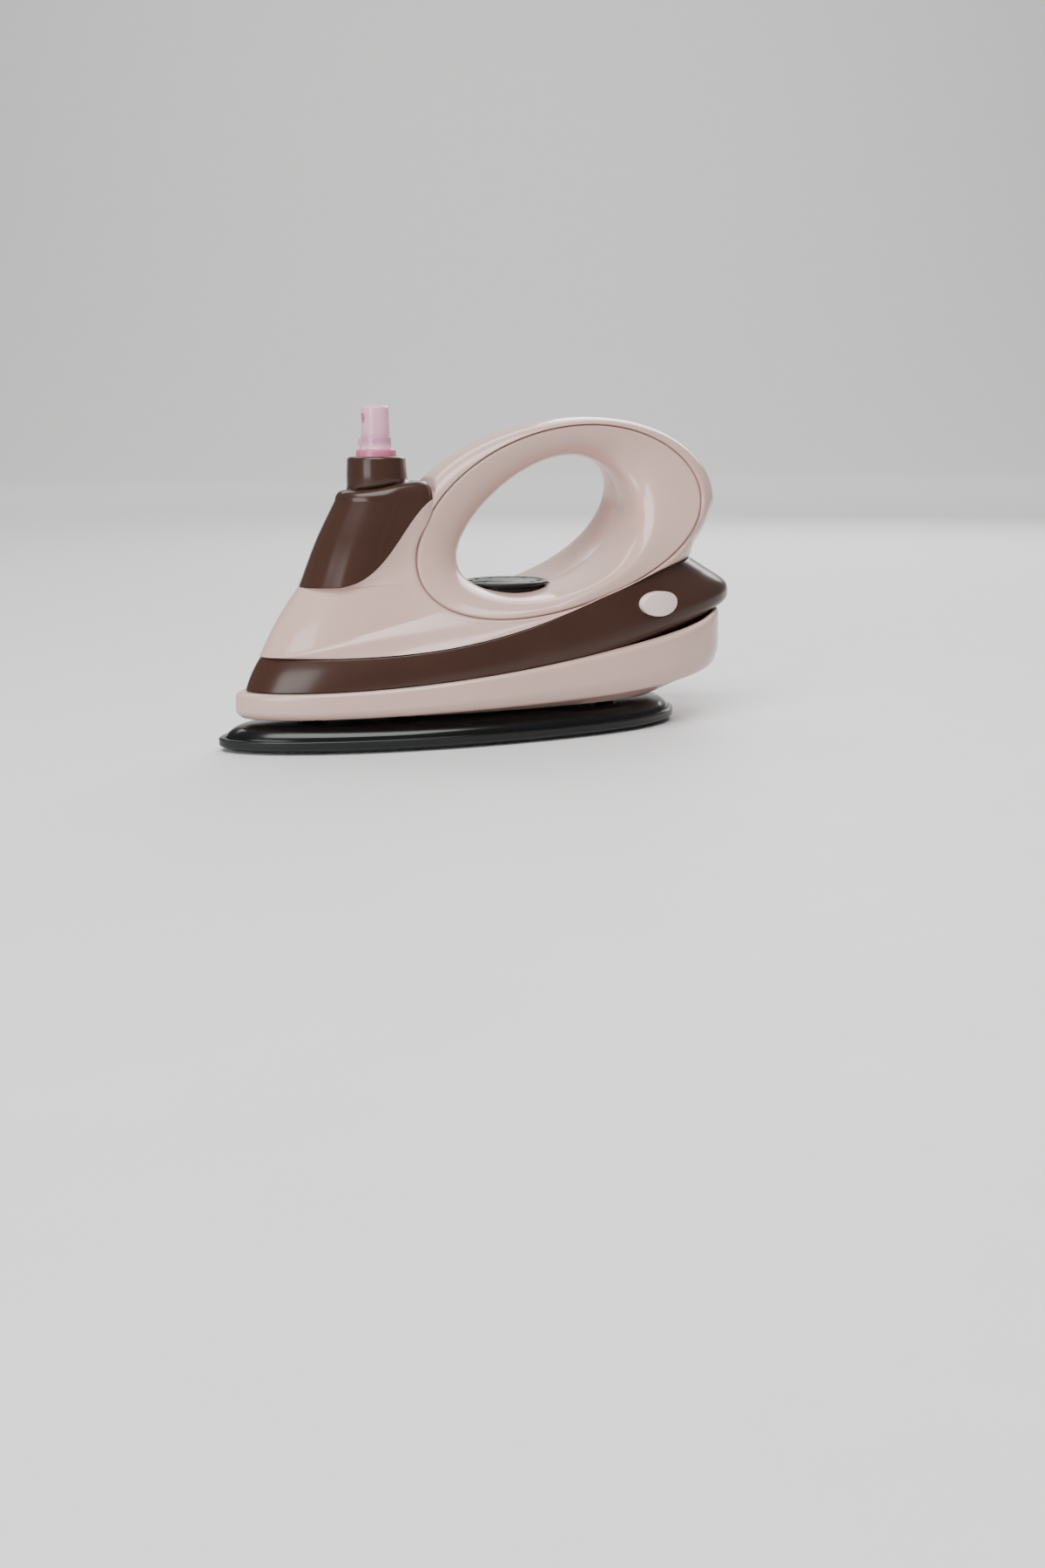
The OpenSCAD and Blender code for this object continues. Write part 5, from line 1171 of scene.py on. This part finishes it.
def tank_outline(z, inset, shape):
    """Closed plan at each height z, inset mm inside: a nose of a quarter circle and its power, a
    straight side, a round rear corner and the back, then the mirror image. Flutes are squares of
    a sine, and only the outer skin has them. Columns run along the last axis."""
    z, inset = np.asarray(z, float)[..., None], np.asarray(inset, float)[..., None]
    front, side, rear, r = tank_front(z), tank_side(z) - inset, TANK_REAR - inset, TANK_CORNER - inset
    depth = shape.flute_depth * (inset < 0.01)
    a = np.linspace(0, 90, 40)
    nose = sind(a) ** NOSE_SHARE
    flute = np.sin(np.clip((nose - 0.25) / 0.75, 0, 1) * 2.5 * math.pi) ** 2
    t = np.linspace(0, 1, 22)[1:]
    fade = np.minimum(1, 3 * t)
    last_flute = np.sin(mix(2.5, 1, fade) * math.pi) ** 2 * (1 - fade)
    c = np.linspace(0, 90, 15)[1:]
    back = np.linspace(1, 0, 9)[1:]
    x = np.concatenate([
        front + inset + TANK_NOSE_L * (1 - cosd(a)), mix(front + TANK_NOSE_L, rear - r, t),
        rear - r + r * sind(c) + 0 * z, rear + 0 * back + 0 * z,
    ], axis=-1)
    y = np.concatenate([
        side * nose - flute * depth, side - last_flute * depth, side - r + r * cosd(c),
        (side - r) * back,
    ], axis=-1)
    return (
        np.concatenate([x, x[..., -2:0:-1]], axis=-1),
        np.concatenate([-y, y[..., -2:0:-1]], axis=-1),
    )


def top_rise(s):
    """Extra height of the tank's top, s mm behind the nose: a smooth step behind its front."""
    t = np.clip((s - TANK_X - TANK_NOSE_L) / TOP_RUN, 0, 1)
    return TOP_RISE * t * t * (3 - 2 * t)


def tank_walls(shape):
    """Rings of the tank's foot, walls and shoulder. Each column's foot is found by going back and
    forth between plan and seam until they agree."""
    x, y = tank_outline(FOOT_PLAN_Z, 0, shape)
    column = np.arange(len(x))
    foot = seam_height(x)
    for _ in range(40):
        gx, gy = tank_outline(foot, 0 * foot, shape)
        foot = seam_height(gx[column, column])
    z = mix(foot[None], SHOULDER_Z, np.linspace(0, 1, 46)[:, None])
    gx, gy = tank_outline(z, 0 * z, shape)
    wall = np.stack([gx[:, column, column], gy[:, column, column], z], axis=-1)

    a = np.linspace(0, 90, 9)[1:]
    gx, gy = tank_outline(np.full(len(a), SHOULDER_Z), SHOULDER_R * (1 - cosd(a)), shape)
    up = sind(a)[:, None]
    shoulder = np.stack([gx, gy, SHOULDER_Z + SHOULDER_R * up + up * top_rise(gx)], axis=-1)

    k = np.array([0.15, 0.5, 0.85])[:, None]
    under = mix(x, FOOT_MID, 1 - k)
    under = np.stack([under, y * k, seam_height(under)], axis=-1)
    return np.concatenate([under, wall, shoulder])


def neck_rings(edge):
    """Rings from the shoulder's edge to the neck: a flat top, a fillet of a quarter circle, the
    outside of the neck, its rounded rim and its bore."""
    angle = np.degrees(np.arctan2(edge[:, 1], edge[:, 0] - NECK_X))
    reach = np.hypot(edge[:, 1], edge[:, 0] - NECK_X)
    top = SHOULDER_Z + SHOULDER_R

    def ring(radius, z):
        """Points round the neck's axis at each column's angle."""
        return np.stack([
            NECK_X + radius * cosd(angle), radius * sind(angle), z + 0 * angle
        ], axis=-1)

    start = np.minimum(reach - 0.15, NECK_REACH)
    radius = mix(reach[None], start[None], np.linspace(0, 1, 6)[1:, None])
    flat = ring(radius, top + top_rise(NECK_X + radius * cosd(angle)))
    q = np.linspace(0, 90, 7)[1:, None]
    foot = top + top_rise(NECK_X + NECK_R * cosd(angle))
    out = np.minimum(NECK_FILLET, start - NECK_R)[None]
    fillet = ring(NECK_R + out * (1 - sind(q)), foot + NECK_FILLET * (1 - cosd(q)))
    a = np.linspace(0, 90, 8)
    neck = np.concatenate([
        np.stack([np.linspace(NECK_R, NECK_TOP_R, 6), np.linspace(NECK_Z, NECK_STRAIGHT_TOP, 6)],
                 axis=-1),
        np.stack([NECK_TOP_R - NECK_EDGE * (1 - cosd(a)), NECK_TOP - NECK_EDGE * (1 - sind(a))],
                 axis=-1),
        NECK_INSIDE,
    ])
    return np.concatenate([flat, fillet, ring(neck[:, :1], neck[:, 1:])])


class IRON_OT_tank(bpy.types.Operator):
    """Brown water tank: leaning walls from the seam up, a rounded shoulder and the round neck"""

    bl_idname = "iron.tank"
    bl_label = "Tank"

    def execute(self, context):
        walls = tank_walls(context.scene.iron_shape)
        rings = np.concatenate([walls, neck_rings(walls[-1])])
        skin = loft(metres(rings[..., 0], rings[..., 1], rings[..., 2]))
        piece("tank_shell", [skin], finish_of("brown_gloss"), "root", ("tank",))
        post = [round_bar(*TANK_POST, TANK_POST_Z, TANK_POST_TOP, TANK_POST_D, 48)]
        made = piece("tank_post", post, finish_of("brown_gloss"), "root")
        cut(made, [round_bar(*TANK_POST, TANK_PILOT_Z, TANK_PILOT_TOP, PILOT_D)])
        return {"FINISHED"}


def stem_seen(islands):
    """Mark of the mauve stem that shows through: a bell curve of the height over the ring."""
    z = np.concatenate([points[:, 2] for points, parts in islands]) * 1000
    return STEM_SEEN_SHARE * np.exp(-(((z - STEM_SEEN_Z) / STEM_SEEN_W) ** 2))


def sleeve_lug():
    """Half of an ellipsoid on the sleeve's side, its middle at LUG_TURN degrees."""
    a, c = turns(24)[None], np.linspace(0, 90, 8)[:, None]
    deep, wide, tall = LUG_HALVES
    side = wide * sind(c) * cosd(a)
    out = LUG_R + deep * cosd(c) + 0 * side
    return loft(metres(
        NECK_X + out * cosd(LUG_TURN) - side * sind(LUG_TURN),
        out * sind(LUG_TURN) + side * cosd(LUG_TURN),
        LUG_Z + tall * sind(c) * sind(a),
    ))


def head_outline():
    """Outline of the clear head: foot, a wall that tapers evenly, a rounded edge and the top."""
    a = np.linspace(0, 90, 9)
    share = np.linspace(0, 1, 10)
    across, up = HEAD_EDGE
    return np.concatenate([
        HEAD_FOOT_OUTLINE,
        np.stack([mix(HEAD_R, HEAD_TOP_R, share), np.linspace(HEAD_Z, HEAD_EDGE_Z, 10)], axis=-1),
        np.stack([HEAD_TOP_R - across * (1 - cosd(a)), HEAD_EDGE_Z + up * sind(a)], axis=-1),
        HEAD_TOP_OUTLINE,
    ])


def front_bar(back, front, r, steps=40):
    """A round bar along the iron through the jet's middle, in mm."""
    v = turns(steps)
    return loft(np.stack([metres(s, r * cosd(v), JET_Z + r * sind(v)) for s in (back, front)]))


class IRON_OT_sprayer(bpy.types.Operator):
    """Sprayer: the pink ring in the neck, the clear sleeve with its lug and the clear head"""

    bl_idname = "iron.sprayer"
    bl_label = "Sprayer"

    def execute(self, context):
        at = (NECK_X, 0)
        ring = loft(revolve(rounded(RING_OUTLINE, 0.06, 3), 96, at), wrap=True)
        piece("sprayer_ring", [ring], finish_of("collar_pink"), "root", ("pump_collar",))
        sleeve = loft(revolve(rounded(SLEEVE_OUTLINE, 0.04, 3), 96, at), wrap=True)
        islands = [sleeve, sleeve_lug()]
        piece("sprayer_sleeve", islands, finish_of("sprayer_clear"), "root",
              marks=stem_seen(islands))

        islands = [loft(revolve(head_outline(), 96, at), wrap=True)]
        made = piece("sprayer_head", islands, finish_of("sprayer_clear"), "spray_head",
                     ("spray_head",), marks=stem_seen(islands))
        cut(made, [front_bar(JET_AT, JET_AT - JET_HOLE_L, JET_HOLE_R),
                   front_bar(JET_AT + DUCT_BACK, JET_AT - DUCT_FRONT, DUCT_R)])
        tip = rounded(JET_OUTLINE, 0.05, 3)
        u = turns(48)
        tip = metres(JET_AT - tip[:, 1:2] + 0 * u, tip[:, :1] * cosd(u),
                     JET_Z + tip[:, :1] * sind(u))
        piece("sprayer_jet", [loft(tip, wrap=True)], finish_of("collar_pink"), "spray_head",
              ("nozzle_insert",))
        return {"FINISHED"}


def dial_tick(turn, length, wide):
    """A raised mark with rounded corners, turned about the dial's axis."""
    r0, r1 = TICK_REACH - length, TICK_REACH
    corners = [(r0, -wide / 2), (r1, -wide / 2), (r1, wide / 2), (r0, wide / 2)]
    o = rounded(corners, min(TICK_ROUND, wide / 3), 4)
    s = DIAL_X + o[:, 0] * cosd(turn) - o[:, 1] * sind(turn)
    y = o[:, 0] * sind(turn) + o[:, 1] * cosd(turn)
    return prism(np.stack([s, y], axis=-1), DIAL_TOP - TICK_LOW, DIAL_TOP - TICK_HIGH)


class IRON_OT_dial(bpy.types.Operator):
    """Black dial: a thin flange with a raised rim and pointer, over the hub and its spindle"""

    bl_idname = "iron.dial"
    bl_label = "Dial"

    def execute(self, context):
        radius, depth = np.array(FLANGE_OUTLINE).T
        flange = np.stack([radius, DIAL_TOP - depth], axis=-1)
        outline = np.concatenate([SPINDLE_OUTLINE, flange])
        disc = loft(revolve(outline, 160, (DIAL_X, 0)), wrap=True)
        ticks = [dial_tick(180, POINTER_L, POINTER_W)]
        ticks += [dial_tick(180 + k * TICK_STEP, TICK_L, TICK_W) for k in range(-5, 6) if k]
        piece("dial_disc", [disc] + ticks, finish_of("dial_black"), "dial", ("dial_knob",))
        return {"FINISHED"}


class IRON_OT_buttons(bpy.types.Operator):
    """Oval push buttons, slightly domed, each with the stem that slides in its guide"""

    bl_idname = "iron.buttons"
    bl_label = "Buttons"

    def execute(self, context):
        a = turns(72)[None]
        edge = [0.965, 0.985, 0.997, 1.0, 1.0, 1.0, 0.98]
        rho = np.concatenate([np.linspace(0.02, 0.93, 16), edge])[:, None]
        u, v = BUTTON_A * rho * cosd(a), BUTTON_B * rho * sind(a)
        w = BUTTON_PROUD + BUTTON_DOME - (u**2 + v**2) / (2 * BUTTON_DOME_R)
        w[16:20] -= np.array([0.03, 0.08, 0.18, 0.32])[:, None]
        inner = BUTTON_BACK - BUTTON_EDGE
        w[20:] = BUTTON_PROUD - np.array([BUTTON_SIDE, inner, BUTTON_BACK])[:, None]
        r, end, edge = BUTTON_STEM_R, BUTTON_STEM_END, BUTTON_STEM_EDGE
        stem = np.array([(r, BUTTON_PROUD - inner), (r, end + edge), (r - edge, end)])
        stem_u, stem_v = stem[:, :1] * cosd(a), stem[:, :1] * sind(a)
        for side, name in ((1, "button_left"), (-1, "button_right")):
            s, y, z = button_place(u, v, w)
            cap = loft(metres(s, side * y, z))
            s, y, z = button_place(stem_u, stem_v, stem[:, 1:] + 0 * a)
            islands = [cap, loft(metres(s, side * y, z))]
            piece(name + "_cap", islands, finish_of("button_pale"), name, (name,))
        return {"FINISHED"}


class IRON_OT_inner_parts(bpy.types.Operator):
    """Finishes for the parts inside, by their material slots"""

    bl_idname = "iron.inner_parts"
    bl_label = "Inner parts"

    def execute(self, context):
        renamed = {"pink_shell": "pink_gloss", "sprayer_pink": "collar_pink",
                   "pale_button": "button_pale"}
        slots = {p["node"]: p["material_slot"] for p in frame["record"]["subparts"]}
        for name, node in frame["nodes"].items():
            finish = "stem_mauve" if name == "pump_piston" else slots[name]
            node.data.materials.clear()
            node.data.materials.append(finish_of(renamed.get(finish, finish)))
        return {"FINISHED"}


def area_light(name, at, aim, size, power):
    """A soft rectangular light at a place, turned towards aim, in metres."""
    lamp = bpy.data.lights.new(name, "AREA")
    lamp.shape = "RECTANGLE"
    lamp.size, lamp.size_y = size
    lamp.energy = power
    made = place(name, lamp)
    made.location = at
    towards = np.array(aim) - np.array(at)
    made.rotation_euler = (
        math.atan2(math.hypot(towards[0], towards[1]), -towards[2]), 0,
        math.atan2(towards[1], towards[0]) - math.pi / 2,
    )


class IRON_OT_studio(bpy.types.Operator):
    """Pale floor that sweeps up behind, soft lights and the camera"""

    bl_idname = "iron.studio"
    bl_label = "Studio"

    def execute(self, context):
        stage = context.scene.iron_stage
        a = np.linspace(0, 90, 24)
        sweep = np.stack([FLOOR_BACK + FLOOR_SWEEP * sind(a), FLOOR_SWEEP * (1 - cosd(a))], axis=-1)
        run = np.concatenate([
            [[FLOOR_FRONT, 0.0]], sweep, [[FLOOR_BACK + FLOOR_SWEEP, FLOOR_HEIGHT]]
        ])
        across = np.linspace(-FLOOR_SIDE, FLOOR_SIDE, 9)
        direction = np.array([sind(VIEW_TURN), cosd(VIEW_TURN)])
        sideways = np.array([cosd(VIEW_TURN), -sind(VIEW_TURN)])
        plan = run[:, None, :1] * direction + across[None, :, None] * sideways
        points = np.concatenate([plan, (run[:, 1:] + 0 * across)[..., None]], axis=-1)
        faces = grid_faces(*points.shape[:2], wrap_cols=False)
        mesh = bpy.data.meshes.new("floor")
        mesh.from_pydata(points.reshape(-1, 3).tolist(), [], faces.tolist())
        mesh.shade_smooth()
        paper = plastic("floor_paper", stage.floor[:], 0.6, grain=0.05, mottle=0.01, coat=0)
        mesh.materials.append(paper)
        place("floor", mesh)

        world = bpy.data.worlds.new("studio")
        world.use_nodes = True
        sky = world.node_tree.nodes["Background"].inputs
        sky["Color"].default_value = (1, 1, 1, 1)
        sky["Strength"].default_value = 0.3
        context.scene.world = world
        light = stage.light
        area_light("overhead", (-0.25, -0.35, 0.95), (0, 0, 0.04), (0.9, 0.6), light)
        area_light("side", (-0.9, -0.55, 0.35), (0, 0, 0.05), (0.5, 0.5), light * 0.35)
        area_light("back", (0.7, 0.7, 0.6), (0, 0, 0.05), (0.7, 0.5), light * 0.45)
        area_light("backdrop", (0.9, 1.9, 2.6), (1.35, 2.85, 0.0), (4.0, 2.0), light * 7)

        lens = bpy.data.cameras.new("camera")
        lens.sensor_fit = "AUTO"
        lens.sensor_width = CAMERA_SENSOR
        lens.lens = CAMERA_LENS
        lens.clip_start, lens.clip_end = 0.01, 50
        camera = place("camera", lens)
        turn = Euler((math.radians(90 - CAMERA_DOWN), 0, math.radians(CAMERA_TURN))).to_matrix()
        turn = turn @ Matrix.Rotation(math.radians(CAMERA_ROLL), 3, "Z")
        camera.matrix_world = Matrix.Translation(CAMERA_AT) @ turn.to_4x4()
        context.scene.camera = camera
        return {"FINISHED"}


class IRON_PT_panel(bpy.types.Panel):
    """The iron's pieces and settings"""

    bl_idname = "IRON_PT_panel"
    bl_label = "Toy iron"
    bl_space_type = "VIEW_3D"
    bl_region_type = "UI"
    bl_category = "Toy iron"

    def draw(self, context):
        """A button for each operator, then a box for each group of settings."""
        scene = context.scene
        for operator in OPERATORS:
            self.layout.operator(operator.bl_idname)
        for group in (scene.iron_colours, scene.iron_shape, scene.iron_stage):
            box = self.layout.box()
            for key in group.__annotations__:
                box.prop(group, key)


OPERATORS = (
    IRON_OT_housing, IRON_OT_band, IRON_OT_pan, IRON_OT_sole, IRON_OT_tank, IRON_OT_sprayer,
    IRON_OT_dial, IRON_OT_buttons, IRON_OT_inner_parts, IRON_OT_studio,
)
CLASSES = (IronColours, IronShape, IronStage) + OPERATORS + (IRON_PT_panel,)


def register():
    """Registers the classes and gives every scene the settings."""
    for c in CLASSES:
        bpy.utils.register_class(c)
    bpy.types.Scene.iron_colours = bpy.props.PointerProperty(type=IronColours)
    bpy.types.Scene.iron_shape = bpy.props.PointerProperty(type=IronShape)
    bpy.types.Scene.iron_stage = bpy.props.PointerProperty(type=IronStage)


def unregister():
    """Takes the settings and the classes away again."""
    del bpy.types.Scene.iron_stage
    del bpy.types.Scene.iron_shape
    del bpy.types.Scene.iron_colours
    for c in reversed(CLASSES):
        bpy.utils.unregister_class(c)


def main():
    """Registers the classes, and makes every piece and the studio."""
    register()
    for operator in OPERATORS:
        done = getattr(bpy.ops.iron, operator.bl_idname.split(".")[1])()
        if done != {"FINISHED"}:
            raise RuntimeError(operator.bl_label + " did not finish")


if __name__ == "__main__":
    main()
